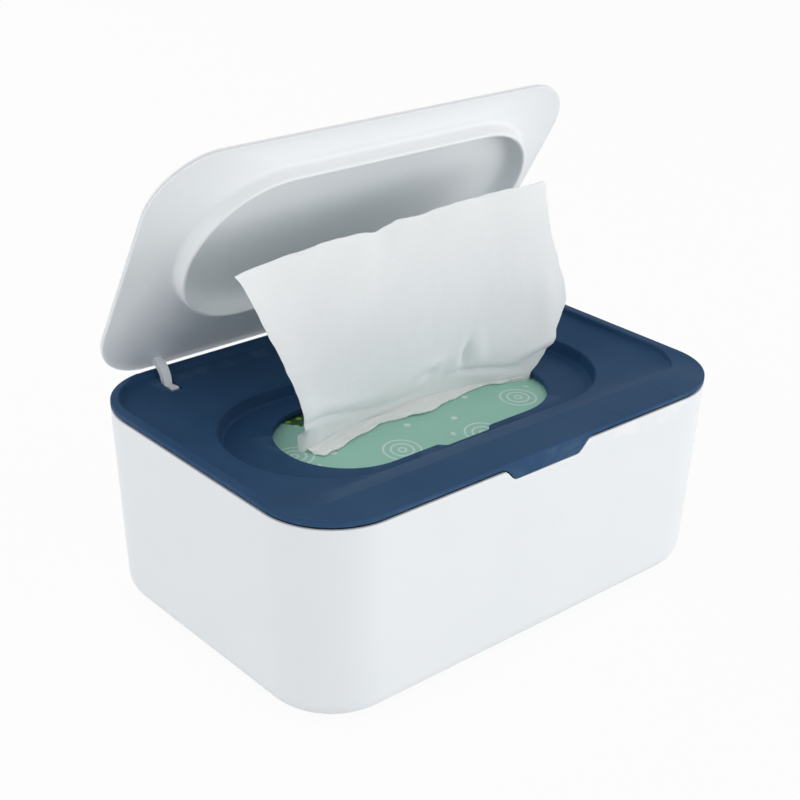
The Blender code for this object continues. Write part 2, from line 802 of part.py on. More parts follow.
def hang_on_axis(item):
    """Set a lid piece on the hinge axis, open."""
    item.location = (0.0, AXIS_Y, AXIS_Z)
    item.rotation_euler = (-LID_OPEN_ANGLE, 0.0, 0.0)
    return item


def crown(inset):
    """Height of the lid's crowned top above its shell's edge."""
    share = min(1.0, inset / LID_CROWN_REACH)
    return LID_CROWN * (1.0 - (1.0 - share) ** 2)


def make_liner(material):
    """The lid's underside: bulged panel, oval wall and inner dish, with both arms."""
    base = LID_PLANE - LID_UNDERSIDE_DROP
    free_edge = LID_PLANE - LID_WALL_DROP
    dish = free_edge + LID_DISH_DEPTH
    wall = LID_OVAL_WALL
    root = LID_WALL_ROOT
    fillet = LID_DISH_FILLET
    edge = LID_ROUND
    flange_top = LID_SEAM - PARTING / 2
    foot_out = oval_outline(wall + root)
    under_edge = lid_outline(edge)
    bulge_end = LID_PLANE - edge * 0.38
    rings = [
        level(oval_outline(-fillet), dish),
        level(oval_outline(-fillet * 0.46), dish - fillet * 0.04),
        level(oval_outline(-fillet * 0.26), dish - fillet * 0.18),
        level(oval_outline(-wall * 1.08), free_edge + wall * 1.17),
        level(oval_outline(-wall * 0.50), free_edge + wall * 0.25),
        level(oval_outline(0.0), free_edge),
        level(oval_outline(wall * 0.50), free_edge + wall * 0.17),
        level(oval_outline(wall * 0.80), free_edge + wall * 0.83),
        level(oval_outline(wall + root * 0.09), base - root * 0.73),
        level(oval_outline(wall + root * 0.36), base - root * 0.27),
        level(foot_out, base),
        level(between(foot_out, under_edge, 0.35), mix(base, bulge_end, 0.40)),
        level(between(foot_out, under_edge, 0.70), mix(base, bulge_end, 0.76)),
        level(under_edge, bulge_end),
        level(lid_outline(edge * 0.25), LID_PLANE - edge * 0.12),
        level(lid_outline(0.0), LID_PLANE + edge * 0.12),
        level(lid_outline(0.0), flange_top - edge * 0.12),
        level(lid_outline(edge * 0.25), flange_top),
        level(lid_outline(LINER_FLANGE), flange_top),
        level(oval_outline(wall), base + LID_SKIN),
        level(oval_outline(-fillet * 0.45), dish + LID_SKIN),
    ]
    rings.reverse()
    liner = skin("lid_liner", [about_axis(ring) for ring in rings], material)
    for hand, side in HANDS:
        add(liner, hang_on_axis(arm_body(hand, side, material)))
        add(liner, hang_on_axis(shoe_body(hand, side, material)))
    return hang_on_axis(liner)


def flat_polar(points):
    """Polar points (radius, angle) round the axis, in the lid's own (y, z)."""
    return [(radius * cos(angle), radius * sin(angle)) for radius, angle in points]


def bellied_arc(root_radius, end_radius, first, last):
    """Points from an arm's root to its end, out a little in the middle."""
    points = []
    for radius, angle in arc(root_radius, first, last):
        share = (angle - first) / (last - first)
        drawn = mix(radius, end_radius, ease(share)) + ARM_BELLY * sin(pi * share)
        points.append((drawn, angle))
    return points


def arm_body(hand, side, material):
    """One goose-neck arm: a bellied arc round the axis, ending in a foot and a short leg."""
    root = (LID_SEAM + LID_PLANE) / 2 - AXIS_Z
    inner_root = pi - asin(root / ARM_INNER_RADIUS)
    outer_root = pi - asin(root / ARM_OUTER_RADIUS)
    points = bellied_arc(ARM_INNER_RADIUS, ARM_INNER_END_RADIUS, inner_root, ARM_TAIL_ANGLE)
    points.append((LEG_INNER_RADIUS, FOOT_LAST_ANGLE))
    points.append((LEG_INNER_RADIUS, LEG_END_ANGLE))
    points.append((LEG_OUTER_RADIUS, LEG_END_ANGLE))
    points.append((LEG_OUTER_RADIUS, FOOT_LAST_ANGLE + radians(1.0)))
    points.append((FOOT_TIP_RADIUS, FOOT_LAST_ANGLE - radians(1.0)))
    points.append((FOOT_TIP_RADIUS, FOOT_FIRST_ANGLE + radians(1.0)))
    points.append((FOOT_TIP_RADIUS - FOOT_TIP_ROUND, FOOT_FIRST_ANGLE))
    outer = bellied_arc(ARM_OUTER_RADIUS, ARM_OUTER_END_RADIUS, outer_root, FOOT_FIRST_ANGLE)
    points += reversed(outer)
    centre = side * ARM_SPACING / 2
    low, high = centre - ARM_WIDTH / 2, centre + ARM_WIDTH / 2
    return prism(f"arm_{hand}", flat_polar(points), low, high, material)


def shoe_body(hand, side, material):
    """The curved shoes on both sides of an arm's leg."""
    inner = LEG_INNER_RADIUS + SHOE_MARGIN
    outer = LEG_OUTER_RADIUS - SHOE_MARGIN
    points = arc(inner, SHOE_FIRST_ANGLE, LEG_END_ANGLE - radians(0.5))
    points += arc(outer, LEG_END_ANGLE - radians(0.5), SHOE_FIRST_ANGLE)
    centre = side * ARM_SPACING / 2
    half = ARM_WIDTH / 2 + SHOE_SIDE
    return prism(f"shoe_{hand}", flat_polar(points), centre - half, centre + half, material)


def make_lid(material):
    """The lid's crowned outer shell, seated on the liner's flange."""
    seam = LID_SEAM + PARTING / 2
    top = seam + LID_SHELL_HEIGHT
    rings = []
    edge = LID_ROUND
    for share in (1.0, 0.725, 0.475, 0.275, 0.125):
        inset = LID_CROWN_REACH * share
        rings.append(level(lid_outline(inset), top + crown(inset) - LID_SKIN))
    rings += [
        level(lid_outline(LID_RIM_LAND + edge * 0.75), seam + edge * 0.5),
        level(lid_outline(LID_RIM_LAND), seam),
        level(lid_outline(edge * 0.25), seam),
        level(lid_outline(0.0), seam + edge * 0.25),
        level(lid_outline(0.0), top - edge * 0.87),
        level(lid_outline(edge * 0.25), top - edge * 0.25),
        level(lid_outline(edge), top + crown(edge)),
    ]
    for share in (0.075, 0.20, 0.40, 0.675, 1.0):
        inset = LID_CROWN_REACH * share
        rings.append(level(lid_outline(inset), top + crown(inset)))
    return hang_on_axis(skin("lid", [about_axis(ring) for ring in rings], material))


# Pack and wipes


def pack_outline(inset):
    """The pack's plan, drawn in by an inset."""
    half_y = PACK_WIDTH / 2 - inset
    radius = max(PACK_CORNER - inset * 0.4, PACK_CORNER / 3)
    return outline(PACK_LENGTH / 2 - inset, -half_y, half_y, radius)


def slit_outline(spread):
    """The torn slit in the pack's top, bowed as the wipe's foot is."""
    points = []
    for x, y in slim_oval(SLIT_LENGTH / 2 + spread, SLIT_WIDTH / 2 + spread):
        foot = wipe_foot_place(0.5 + x / SLIT_LENGTH)
        points.append((x + SLIT_SHIFT_X, y + foot - SLIT_FORWARD))
    return points


def make_pack(material):
    """The soft film pack, a thin bag with a slit in its top."""
    floor = BOX_FLOOR + CLEARANCE
    height = FILM_TOP - floor
    inset, shoulder = PACK_BASE_INSET, PACK_SHOULDER
    steps = (
        (inset, 0.0),
        (inset * 0.47, PACK_BASE * 0.06),
        (inset * 0.10, PACK_BASE * 0.38),
        (0.0, PACK_BASE),
        (0.0, height * 0.75),
        (shoulder * 0.11, height - shoulder * 0.44),
        (shoulder * 0.44, height - shoulder * 0.13),
        (shoulder, height - shoulder * 0.02),
    )
    film = FILM_THICKNESS
    rings = [level(pack_outline(inset), floor + rise) for inset, rise in steps]
    rings.append(level(slit_outline(SLIT_ROUND), FILM_TOP))
    rings.append(level(slit_outline(0.0), FILM_TOP - film / 2))
    rings.append(level(slit_outline(SLIT_ROUND), FILM_TOP - film))
    for inset, rise in reversed(steps):
        share = rise / height
        rings.append(level(pack_outline(inset + film), floor + mix(film, rise - film, share)))
    return skin("wipes_pack", rings, material)


def stack_top():
    """Height of the folded stack."""
    return FILM_TOP - STACK_TOP_GAP


def make_stack(material):
    """The folded wipes in the pack."""
    floor = BOX_FLOOR + CLEARANCE + FILM_THICKNESS + CLEARANCE
    height = stack_top() - floor
    inset, shoulder = STACK_BASE_INSET, STACK_SHOULDER
    steps = (
        (inset, 0.0),
        (inset * 0.52, STACK_BASE * 0.07),
        (inset * 0.17, STACK_BASE * 0.38),
        (0.0, STACK_BASE),
        (0.0, height * 0.72),
        (shoulder * 0.20, height - shoulder * 0.28),
        (shoulder * 0.60, height - shoulder * 0.03),
        (shoulder, height),
    )
    rings = []
    for inset, rise in steps:
        half_y = STACK_WIDTH / 2 - inset
        points = outline(STACK_LENGTH / 2 - inset, -half_y, half_y, STACK_CORNER)
        rings.append(level(points, floor + rise))
    return skin("wipe_stack", rings, material)


def make_next_wipe(material):
    """The next wipe's fold, standing in the slit in front of the pulled one."""
    low = stack_top() + CLEARANCE
    high = FILM_TOP + NEXT_WIPE_STAND
    half_x = NEXT_WIPE_LENGTH / 2
    half_y = NEXT_WIPE_WIDTH / 2
    behind = half_y + WIPE_FOLD / 2 + WIPE_THICKNESS / 2 + CLEARANCE
    rings = []
    for drawn, share in ((1.0, 0.0), (0.0, 0.12), (0.0, 0.85), (0.83, 1.0)):
        inset = NEXT_WIPE_ROUND * drawn
        ring = []
        for x, y in slim_oval(half_x - inset, half_y - inset):
            foot = wipe_foot_place(0.5 + x / SLIT_LENGTH)
            ring.append((x + SLIT_SHIFT_X, foot + y - behind, mix(low, high, share)))
        rings.append(ring)
    return skin("next_wipe", rings, material)


def wipe_foot_place(across):
    """How far back the pulled wipe's foot stands, at a share of its width."""
    share = min(1.0, max(0.0, across))
    bow = WIPE_FOOT_BOW * sin(pi * share)
    return WIPE_FOOT_Y + bow - WIPE_FOOT_TURN * share**4


def edge_point(points, share):
    """A smooth point along a short list of points, by the Catmull-Rom rule."""
    place = share * (len(points) - 1)
    index = min(int(place), len(points) - 2)
    local = place - index
    before = points[max(index - 1, 0)]
    start = points[index]
    end = points[index + 1]
    after = points[min(index + 2, len(points) - 1)]
    values = []
    for a, b, c, d in zip(before, start, end, after):
        bend = 2 * a - 5 * b + 4 * c - d
        twist = 3 * b - a - 3 * c + d
        values.append(0.5 * (2 * b + (c - a) * local + bend * local**2 + twist * local**3))
    return values


def wipe_point(across, up):
    """A point of the pulled wipe's middle surface, with its main folds."""
    left_x, left_z = edge_point(WIPE_LEFT_EDGE, up)
    right_x, right_z = edge_point(WIPE_RIGHT_EDGE, up)
    x = mix(left_x - OPENING_LENGTH / 2, OPENING_LENGTH / 2 - right_x, across)
    z = FILM_TOP + mix(left_z, right_z, across)
    z += WIPE_TOP_RISE * sin(pi * across) * up
    settled = mix(WIPE_FOOT_Y - WIPE_LEAN, wipe_foot_place(across), (1.0 - up) ** 2)
    gathered = 0.35 + 0.65 * (1.0 - up)
    rise = ease(min(1.0, up * 4.0))
    folds = sin(across * 7.5 * pi + 0.8) * gathered + 0.5 * sin(across * 3.2 * pi + up * 2.4)
    y = settled + WIPE_FOLD * folds * mix(0.2, 1.0, rise)
    return Vector((x, y, z))


def make_wipe(material):
    """The wipe pulled up through the slit: a thin closed sheet in its main folds."""
    form = bmesh.new()
    sides = []
    for offset in (-WIPE_THICKNESS / 2, WIPE_THICKNESS / 2):
        grid = []
        for row in range(WIPE_ROWS + 1):
            line = []
            for column in range(WIPE_COLUMNS + 1):
                point = wipe_point(column / WIPE_COLUMNS, row / WIPE_ROWS)
                line.append(form.verts.new(point + Vector((0.0, offset, 0.0))))
            grid.append(line)
        sides.append(grid)
    front, back = sides
    for grid in sides:
        for low, high in zip(grid, grid[1:]):
            for index in range(WIPE_COLUMNS):
                form.faces.new((low[index], low[index + 1], high[index + 1], high[index]))
    border = [(0, column) for column in range(WIPE_COLUMNS)]
    border += [(row, WIPE_COLUMNS) for row in range(WIPE_ROWS)]
    border += [(WIPE_ROWS, column) for column in range(WIPE_COLUMNS, 0, -1)]
    border += [(row, 0) for row in range(WIPE_ROWS, 0, -1)]
    for (row_a, column_a), (row_b, column_b) in zip(border, border[1:] + border[:1]):
        form.faces.new(
            (
                front[row_a][column_a],
                front[row_b][column_b],
                back[row_b][column_b],
                back[row_a][column_a],
            )
        )
    return finish_mesh("pulled_wipe", form, material)


HANDS = (("left", -1), ("right", 1))


def main():
    """Build every piece."""
    clear_scene()
    white = plain_material("White plastic", (0.78, 0.81, 0.83), 0.35)
    navy = plain_material("Navy plastic", (0.027, 0.064, 0.128), 0.42)
    rubber = plain_material("Grey rubber", (0.30, 0.31, 0.32), 0.75)
    steel = plain_material("Steel", (0.62, 0.63, 0.65), 0.30, 1.0)
    acetal = plain_material("Keeper plastic", (0.035, 0.060, 0.105), 0.40)
    film = plain_material("Mint film", (0.27, 0.48, 0.39), 0.38)
    cloth = plain_material("Wipe cloth", (0.76, 0.79, 0.79), 0.90)
    cream = plain_material("Folded cloth", (0.78, 0.79, 0.75), 0.90)
    make_box(white)
    make_feet(rubber)
    make_cover(navy)
    for hand, side in HANDS:
        make_keeper(hand, side, acetal)
    make_screws(steel)
    make_liner(white)
    make_lid(white)
    make_pack(film)
    make_stack(cream)
    make_next_wipe(cream)
    make_wipe(cloth)
    print("lid opens by", round(degrees(LID_OPEN_ANGLE), 2), "degrees")


main()
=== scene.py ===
"""Wipes dispenser, dressed for its picture: moulded box, cover and lid, the soft pack and its wipes.

Metres, +Z up, -Y the front. The lid is open at rest. The whole is laid out as an add-on: the sizes
and colours are settings, each piece has its operator, and main() runs them in order.
"""

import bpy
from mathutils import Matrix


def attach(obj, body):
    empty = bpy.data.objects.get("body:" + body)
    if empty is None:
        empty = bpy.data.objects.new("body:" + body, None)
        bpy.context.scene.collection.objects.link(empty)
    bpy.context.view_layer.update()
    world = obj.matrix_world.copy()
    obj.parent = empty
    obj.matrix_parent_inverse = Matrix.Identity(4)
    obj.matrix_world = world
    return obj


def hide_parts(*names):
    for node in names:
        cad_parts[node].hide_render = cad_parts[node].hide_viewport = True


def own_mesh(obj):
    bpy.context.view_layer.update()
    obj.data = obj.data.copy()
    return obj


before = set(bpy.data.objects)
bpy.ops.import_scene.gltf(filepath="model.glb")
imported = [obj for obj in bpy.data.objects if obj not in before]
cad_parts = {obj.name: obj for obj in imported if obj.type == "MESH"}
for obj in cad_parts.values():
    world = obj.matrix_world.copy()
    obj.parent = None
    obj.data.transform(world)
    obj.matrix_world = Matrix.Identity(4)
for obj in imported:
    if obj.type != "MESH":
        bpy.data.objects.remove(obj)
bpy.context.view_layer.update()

from math import asin, cos, exp, pi, radians, sin

import bmesh
import bpy
from bpy.props import FloatProperty, FloatVectorProperty, IntProperty, PointerProperty
from bpy.types import Operator, Panel, PropertyGroup
from mathutils import Matrix, Vector, noise

bl_info = {
    "name": "Wipes Dispenser",
    "version": (1, 0, 0),
    "blender": (4, 5, 0),
    "location": "View3D > Sidebar > Dispenser",
    "description": "Builds a wipes dispenser with its lid, cover, soft pack and wipes",
    "category": "Add Mesh",
}

# Finish of each moulded plastic
BOX_FINISH = {"roughness": 0.42, "grain": 0.10, "mottling": 0.25, "specular": 0.35}
COVER_FINISH = {"roughness": 0.55, "grain": 0.16, "mottling": 0.30, "specular": 0.07}
KEEPER_FINISH = {"roughness": 0.50, "grain": 0.20, "mottling": 0.30, "specular": 0.25}
LID_FINISH = {"roughness": 0.36, "grain": 0.06, "mottling": 0.20, "specular": 0.40, "glow": 0.15}

# Smoothness of the curves
CORNER_STEPS = 22
FILLET_STEPS = 10
ROUND_STEPS = 40
CURVE_STEPS = 20
ARC_STEP = radians(3.0)
SHARP_ANGLE = radians(32.0)
BEVEL_ANGLE = radians(40.0)
DECK_STEPS = 8
FILM_STEPS = 21
PACK_POINTS = 260
WIPE_COLUMNS = 230
WIPE_ROWS = 140
NEXT_COLUMNS = 220
NEXT_ROWS = 26

# Hinge arms, slots and keepers: radii and angles round the hinge axis, and reaches from it
ARM_INNER_RADIUS = 0.0070
ARM_OUTER_RADIUS = 0.0095
ARM_INNER_END_RADIUS = 0.0066
ARM_OUTER_END_RADIUS = 0.0088
ARM_BELLY = 0.0003
ARM_TAIL_ANGLE = radians(235.8)
FOOT_TIP_RADIUS = 0.0132
FOOT_FIRST_ANGLE = radians(233.8)
FOOT_LAST_ANGLE = radians(238.8)
LEG_INNER_RADIUS = 0.0110
LEG_OUTER_RADIUS = 0.0128
LEG_END_ANGLE = radians(248.3)
SHOE_FIRST_ANGLE = radians(241.3)
SHOE_SIDE = 0.0015
SHOE_MARGIN = 0.0002
SLOT_FRONT_REACH = 0.01457
SLOT_BACK_REACH = 0.00597
KEEPER_FRONT_REACH = 0.0150
KEEPER_CHEEK = 0.0025
KEEPER_HEAD_DROP = 0.0051
ROOM_IN_FRONT = 0.0003
ROOM_ABOVE = 0.00015
SLOT_SIDE_GAP = 0.0010
SLOT_ABOVE = 0.0022
RELIEF_GAP = 0.0003
RELIEF_ANGLES = (radians(62), radians(150))
# Beyond the lid's straight edge, and how much wider the relief is there
RELIEF_STATIONS = ((0.0048, 0.0), (0.0108, 0.0019), (0.0138, 0.0033))
HANDS = (("left", -1), ("right", 1))

# Screws through the keepers' ears into the cover's bosses
BOSS_RADIUS = 0.0026
HOLE_RADIUS = 0.0013
HOLE_DEPTH = 0.0033
HOLE_LEAD = 0.005
EAR_REACH = 0.0037
EAR_THICKNESS = 0.0015
EAR_GAP = 0.0003
SCREW_INSET = 0.0031
SCREW_LENGTH = 0.0030
CROSS_ARMS = ((0.0010, 0.00022), (0.00022, 0.0010))
CROSS_LOW = 0.0015
CROSS_HIGH = 0.0006

# Gap round the tongue in its notch, and roundings of the edges that cuts leave
NOTCH_GAP = 0.00035
BOX_SOFTENING = 0.0002
COVER_SOFTENING = 0.00025
LINER_SOFTENING = 0.0003

# How high pack and stack lie above the box's floor, and the bag's inside as a share of its plan
PACK_LIFT = 0.0003
STACK_LIFT = 0.0014
INNER_SHARE = 0.985

# The slit torn in the pack: half its length, its width and its shift to the right
SLIT_HALF_LENGTH = 0.0485
SLIT_WIDTH = 0.0120
SLIT_SHIFT = 0.0035

# Waves in film and cloth: height, waves to the metre or so, and a seed
FILM_BROAD = (1.0, 45.0, 3.1)
FILM_FINE = (0.45, 110.0, 7.7)
FILM_STREAK = (1.0, 150.0, 1.3)
PACK_SIDE = (0.0006, 60.0, 2.0)
SLIT_TEAR = (0.0005, 160.0, 0.0)
NEXT_EDGE = (0.0005, 210.0, 5.0)
NEXT_FRAY = (0.00035, 700.0, 9.0)
NEXT_CREST = (0.0005, 60.0, 4.0)
NEXT_PLEATS = (2.2, 38.0, 6.0)
NEXT_CRINKLE = (0.00018, 320.0, 8.0)
NEXT_TURN = (1.0, 150.0, 12.0)
WIPE_BROAD = (0.0006, 26.0, 11.0)
WIPE_MIDDLE = (0.0003, 70.0, 5.0)
WIPE_FINE = (0.00005, 220.0, 3.0)
WIPE_CURL = (1.0, 55.0, 2.0)
BORDER_SIDEWAYS = (0.00035, 190.0, 1.0)
BORDER_UPWARD = (0.00035, 190.0, 6.0)

# The pulled wipe's lower left corner, curled back on the film: its share of the width, the height
# where it fades out and over how much, its sideways line and bulge, and how far back it goes
CURL_SHARE = 0.07
CURL_TOP = 0.0660
CURL_FADE = 0.0060
CURL_LINE = -0.0436
CURL_BULGE = 0.0052
CURL_BACK = 0.0060

# Edges of the pulled wipe in its hanging plane: sideways place and height
WIPE_LEFT = (
    (-0.0486, 0.0591), (-0.0488, 0.0620), (-0.0492, 0.0650), (-0.0497, 0.0700), (-0.0505, 0.0760),
    (-0.0523, 0.0836), (-0.0548, 0.0892), (-0.0582, 0.0966), (-0.0609, 0.1026), (-0.0653, 0.1107),
    (-0.0696, 0.1202), (-0.0732, 0.1272), (-0.0764, 0.1323),
)
WIPE_RIGHT = (
    (0.0540, 0.0591), (0.0545, 0.0620), (0.0552, 0.0645), (0.0590, 0.0672), (0.0632, 0.0700),
    (0.0659, 0.0740), (0.0671, 0.0791), (0.0702, 0.0844), (0.0720, 0.0887), (0.0710, 0.0956),
    (0.0675, 0.1043), (0.0630, 0.1156), (0.0595, 0.1264), (0.0573, 0.1362), (0.0556, 0.1384),
)
WIPE_TOP = (
    (-0.0764, 0.1323), (-0.0661, 0.1338), (-0.0551, 0.1352), (-0.0452, 0.1361), (-0.0357, 0.1363),
    (-0.0261, 0.1360), (-0.0204, 0.1350), (-0.0147, 0.1361), (-0.0104, 0.1372), (-0.0031, 0.1367),
    (0.0089, 0.1375), (0.0180, 0.1383), (0.0274, 0.1384), (0.0353, 0.1383), (0.0451, 0.1378),
    (0.0518, 0.1378), (0.0556, 0.1384),
)
# Soft hollows (positive) and swells (negative) of the pulled wipe:
# sideways place, height, turn in degrees, half-length, half-width, depth
WIPE_FORMS = (
    (-0.0330, 0.0703, -10.0, 0.0140, 0.0013, 0.0021),
    (-0.0330, 0.0748, -9.0, 0.0180, 0.0030, -0.0010),
    (-0.0080, 0.0668, 2.0, 0.0120, 0.0018, 0.0010),
    (0.0268, 0.0765, 86.0, 0.0050, 0.0017, 0.0026),
    (0.0215, 0.0765, 70.0, 0.0060, 0.0028, -0.0010),
    (0.0325, 0.0765, 100.0, 0.0070, 0.0032, -0.0009),
    (0.0094, 0.0740, 20.0, 0.0036, 0.0018, 0.0019),
    (0.0094, 0.0780, 12.0, 0.0070, 0.0024, -0.0010),
    (0.0585, 0.0692, 17.0, 0.0110, 0.0013, 0.0021),
    (0.0570, 0.0730, 17.0, 0.0140, 0.0026, -0.0012),
    (0.0365, 0.0684, -8.5, 0.0130, 0.0013, 0.0019),
    (-0.0420, 0.1000, 62.0, 0.0300, 0.0090, -0.0006),
    (0.0050, 0.1050, 80.0, 0.0300, 0.0140, -0.0007),
    (0.0420, 0.1120, 98.0, 0.0260, 0.0090, 0.0006),
    (0.0620, 0.0900, 100.0, 0.0150, 0.0050, -0.0008),
    (-0.0180, 0.1290, 78.0, 0.0110, 0.0060, 0.0010),
)
# Front edge of the next wipe on the film: sideways place and place from front to back
NEXT_FRONT = (
    (-0.0468, -0.0031), (-0.0446, -0.0055), (-0.0406, -0.0045), (-0.0249, -0.0013),
    (-0.0131, 0.0006), (-0.0050, -0.0008), (0.0053, -0.0024), (0.0173, 0.0001),
    (0.0289, 0.0019), (0.0377, 0.0018), (0.0426, -0.0011), (0.0497, -0.0005),
    (0.0530, -0.0030),
)


# Settings


def size(name, description, default):
    """A length setting in metres."""
    return FloatProperty(
        name=name,
        description=description,
        default=default,
        unit="LENGTH",
        subtype="DISTANCE",
        precision=5,
    )


def colour(name, description, default):
    """A colour setting."""
    return FloatVectorProperty(
        name=name,
        description=description,
        default=default,
        subtype="COLOR",
        size=3,
        min=0.0,
        max=1.0,
    )


class DispenserBoxSettings(PropertyGroup):
    """Sizes of the box and its feet."""

    length: size("Length", "Outside length at the rim", 0.190)
    width: size("Width", "Outside width at the rim", 0.1316)
    height: size("Height", "Height of the box's rim", 0.0725)
    corner_radius: size("Corner radius", "Plan radius of the corners", 0.026)
    corner_narrowing: size("Corner narrowing", "How much tighter the corners are below", 0.001)
    taper: size("Taper", "How far each wall leans in at the base", 0.0027)
    base_fillet: size("Base fillet", "Radius between the walls and the base", 0.0083)
    wall: size("Wall", "Thickness of the walls", 0.0025)
    floor: size("Floor", "Thickness of the floor", 0.0026)
    rim_edge: size("Rim edge", "Rounding of the rim", 0.0004)
    rim_land: size("Rim land", "Width of the rim outside its step", 0.0009)
    rim_step: size("Rim step", "Depth of the step inside the rim", 0.0012)
    rim_gap: size("Rim gap", "How much the rim is eased down under the cover", 0.00035)
    foot_radius: size("Foot radius", "Radius of the pads", 0.007)
    foot_seat: size("Foot seat", "Depth of the pads' seats", 0.001)
    foot_stand: size("Foot stand", "How far the pads stand out", 0.0008)
    foot_inset: size("Foot inset", "From the flat base's edge to a pad's middle", 0.0126)


class DispenserCoverSettings(PropertyGroup):
    """Sizes of the cover."""

    parting: size("Parting", "Gap between the box's rim and the cover", 0.0003)
    clearance: size("Clearance", "Running gap between pieces", 0.0003)
    rim_height: size("Rim height", "Height of the cover's rim", 0.0022)
    lip_width: size("Lip width", "Width of the side lips", 0.0037)
    back_lip_width: size("Back lip width", "Width of the back lip", 0.0028)
    front_band: size("Front band", "Width of the front band", 0.0154)
    seat_front_radius: size("Seat front radius", "Front corners of the lid's seat", 0.0198)
    seat_back_radius: size("Seat back radius", "Back corners of the lid's seat", 0.022)
    seat_depth: size("Seat depth", "Depth of the lid's seat", 0.00255)
    skirt_thickness: size("Skirt thickness", "Thickness of the skirt", 0.0018)
    skirt_depth: size("Skirt depth", "How far the skirt goes down", 0.0068)
    wall: size("Wall", "Thickness of the deck", 0.0022)
    recess_length: size("Recess length", "Length of the oval recess", 0.1526)
    recess_width: size("Recess width", "Width of the oval recess", 0.0722)
    recess_edge_drop: size("Recess edge drop", "From the rim to the recess's edge", 0.0060)
    recess_floor_drop: size("Recess floor drop", "From the rim to the recess's floor", 0.0111)
    opening_length: size("Opening length", "Length of the opening", 0.112)
    opening_width: size("Opening width", "Width of the opening", 0.051)
    notch_top: size("Notch top", "Width of the finger notch at the opening", 0.026)
    notch_end: size("Notch end", "Width of the finger notch at its end", 0.018)
    notch_depth: size("Notch depth", "Depth of the finger notch", 0.0027)
    tongue_width: size("Tongue width", "Width of the tongue's foot", 0.027)
    tongue_shoulder: size("Tongue shoulder", "Width of each S-curved shoulder", 0.0065)
    tongue_drop: size("Tongue drop", "How far the tongue hangs down", 0.0045)
    tongue_thickness: size("Tongue thickness", "Thickness of the tongue", 0.0033)


class DispenserLidSettings(PropertyGroup):
    """Sizes of the lid."""

    depth: size("Depth", "Lid from front to back", 0.1051)
    corner_radius: size("Corner radius", "Plan radius of the lid's corners", 0.0238)
    wall_drop: size("Wall drop", "From the lid's plane to the oval wall's edge", 0.0090)
    underside_drop: size("Underside drop", "Bulge of the underside at the oval wall", 0.0037)
    oval_length: size("Oval length", "Inside length of the oval wall", 0.1472)
    oval_width: size("Oval width", "Inside width of the oval wall", 0.0640)
    oval_wall: size("Oval wall", "Thickness of the oval wall", 0.0012)
    dish_depth: size("Dish depth", "Depth of the dish from the wall's edge", 0.0067)
    edge: size("Edge", "Height of the liner's own edge", 0.0006)
    shell_height: size("Shell height", "Height of the shell's edge", 0.0011)
    crown: size("Crown", "Rise of the crowned top", 0.0027)
    skin: size("Skin", "Thickness of shell and liner", 0.0018)
    flange: size("Flange", "Width of the liner's flange", 0.006)
    seam: size("Seam", "Gap between the shell's edge and the liner's", 0.00008)
    arm_spacing: size("Arm spacing", "Between the two arms' middles", 0.130)
    arm_width: size("Arm width", "Width that slots and keepers are cut for", 0.0028)
    arm_swell: size("Arm swell", "How far an arm stands out into its side gaps", 0.0002)
    axis_behind: size("Axis behind", "Hinge axis behind the back wall", 0.00077)
    axis_below: size("Axis below", "Hinge axis below the cover's rim", 0.00495)
    open_angle: FloatProperty(
        name="Open angle",
        description="How far the lid stands open at rest",
        default=radians(60.27),
        unit="ROTATION",
        subtype="ANGLE",
    )


class DispenserPackSettings(PropertyGroup):
    """Sizes of the soft pack, the folded wipes and the pulled wipe."""

    length: size("Length", "Length of the pack", 0.166)
    width: size("Width", "Width of the pack", 0.098)
    corner: size("Corner", "Plan radius of the pack's corners", 0.014)
    film: size("Film", "Thickness of the film", 0.0005)
    top_gap: size("Top gap", "Between the cover's underside and the film", 0.0006)
    film_wrinkle: size("Film wrinkle", "Height of the film's wrinkles", 0.00035)
    stack_length: size("Stack length", "Length of the folded wipes", 0.154)
    stack_width: size("Stack width", "Width of the folded wipes", 0.086)
    layer_pitch: size("Layer pitch", "Height of one folded wipe", 0.0029)
    layers: IntProperty(
        name="Layers", description="Number of folded wipes", default=17, min=2, max=60
    )
    wipe_thickness: size("Wipe thickness", "Thickness of the cloth", 0.00035)
    wipe_width: size("Wipe width", "A wipe's width before it is pulled", 0.150)
    wipe_length: size("Wipe length", "A wipe's length before it is pulled", 0.200)
    wipe_foot: size("Wipe foot", "Place of the wipe's foot, front to back", 0.0015)
    wipe_bow: size("Wipe bow", "How far the foot bows back in the middle", 0.0080)
    wipe_turn: size("Wipe turn", "How far the foot turns forward at the right", 0.0045)
    wipe_lean: size("Wipe lean", "How far the top leans forward", 0.0035)


class DispenserLookSettings(PropertyGroup):
    """Colours of the materials."""

    box_white: colour("Box white", "Plastic of the box", (0.795, 0.830, 0.856))
    lid_white: colour("Lid white", "Plastic of the lid", (0.850, 0.885, 0.905))
    # The lighter colours here tint the mottling and paint a highlight on the convex edges of box,
    # lid and cover
    white_mottle_and_highlight: colour("White mottle and highlight", "Mottling and painted edge highlight of box and lid", (0.86, 0.87, 0.88))
    navy: colour("Navy", "Plastic of the cover", (0.0225, 0.0650, 0.1460))
    navy_mottle_and_highlight: colour("Navy mottle and highlight", "Mottling and painted edge highlight of the cover", (0.0500, 0.1050, 0.1950))
    keeper: colour("Keeper", "Plastic of the keepers", (0.028, 0.052, 0.098))
    rubber: colour("Rubber", "Pads under the box", (0.20, 0.21, 0.22))
    mint: colour("Mint", "Ground of the film", (0.320, 0.600, 0.490))
    mint_pale: colour("Pale print", "Pale print on the film", (0.640, 0.740, 0.690))
    green: colour("Green", "Dark patch on the film", (0.030, 0.110, 0.045))
    lime: colour("Lime", "Dots on the dark patch", (0.380, 0.560, 0.060))
    cloth: colour("Cloth", "The pulled wipe", (0.930, 0.965, 0.970))
    cream: colour("Cream", "The folded wipes", (0.960, 0.975, 0.930))


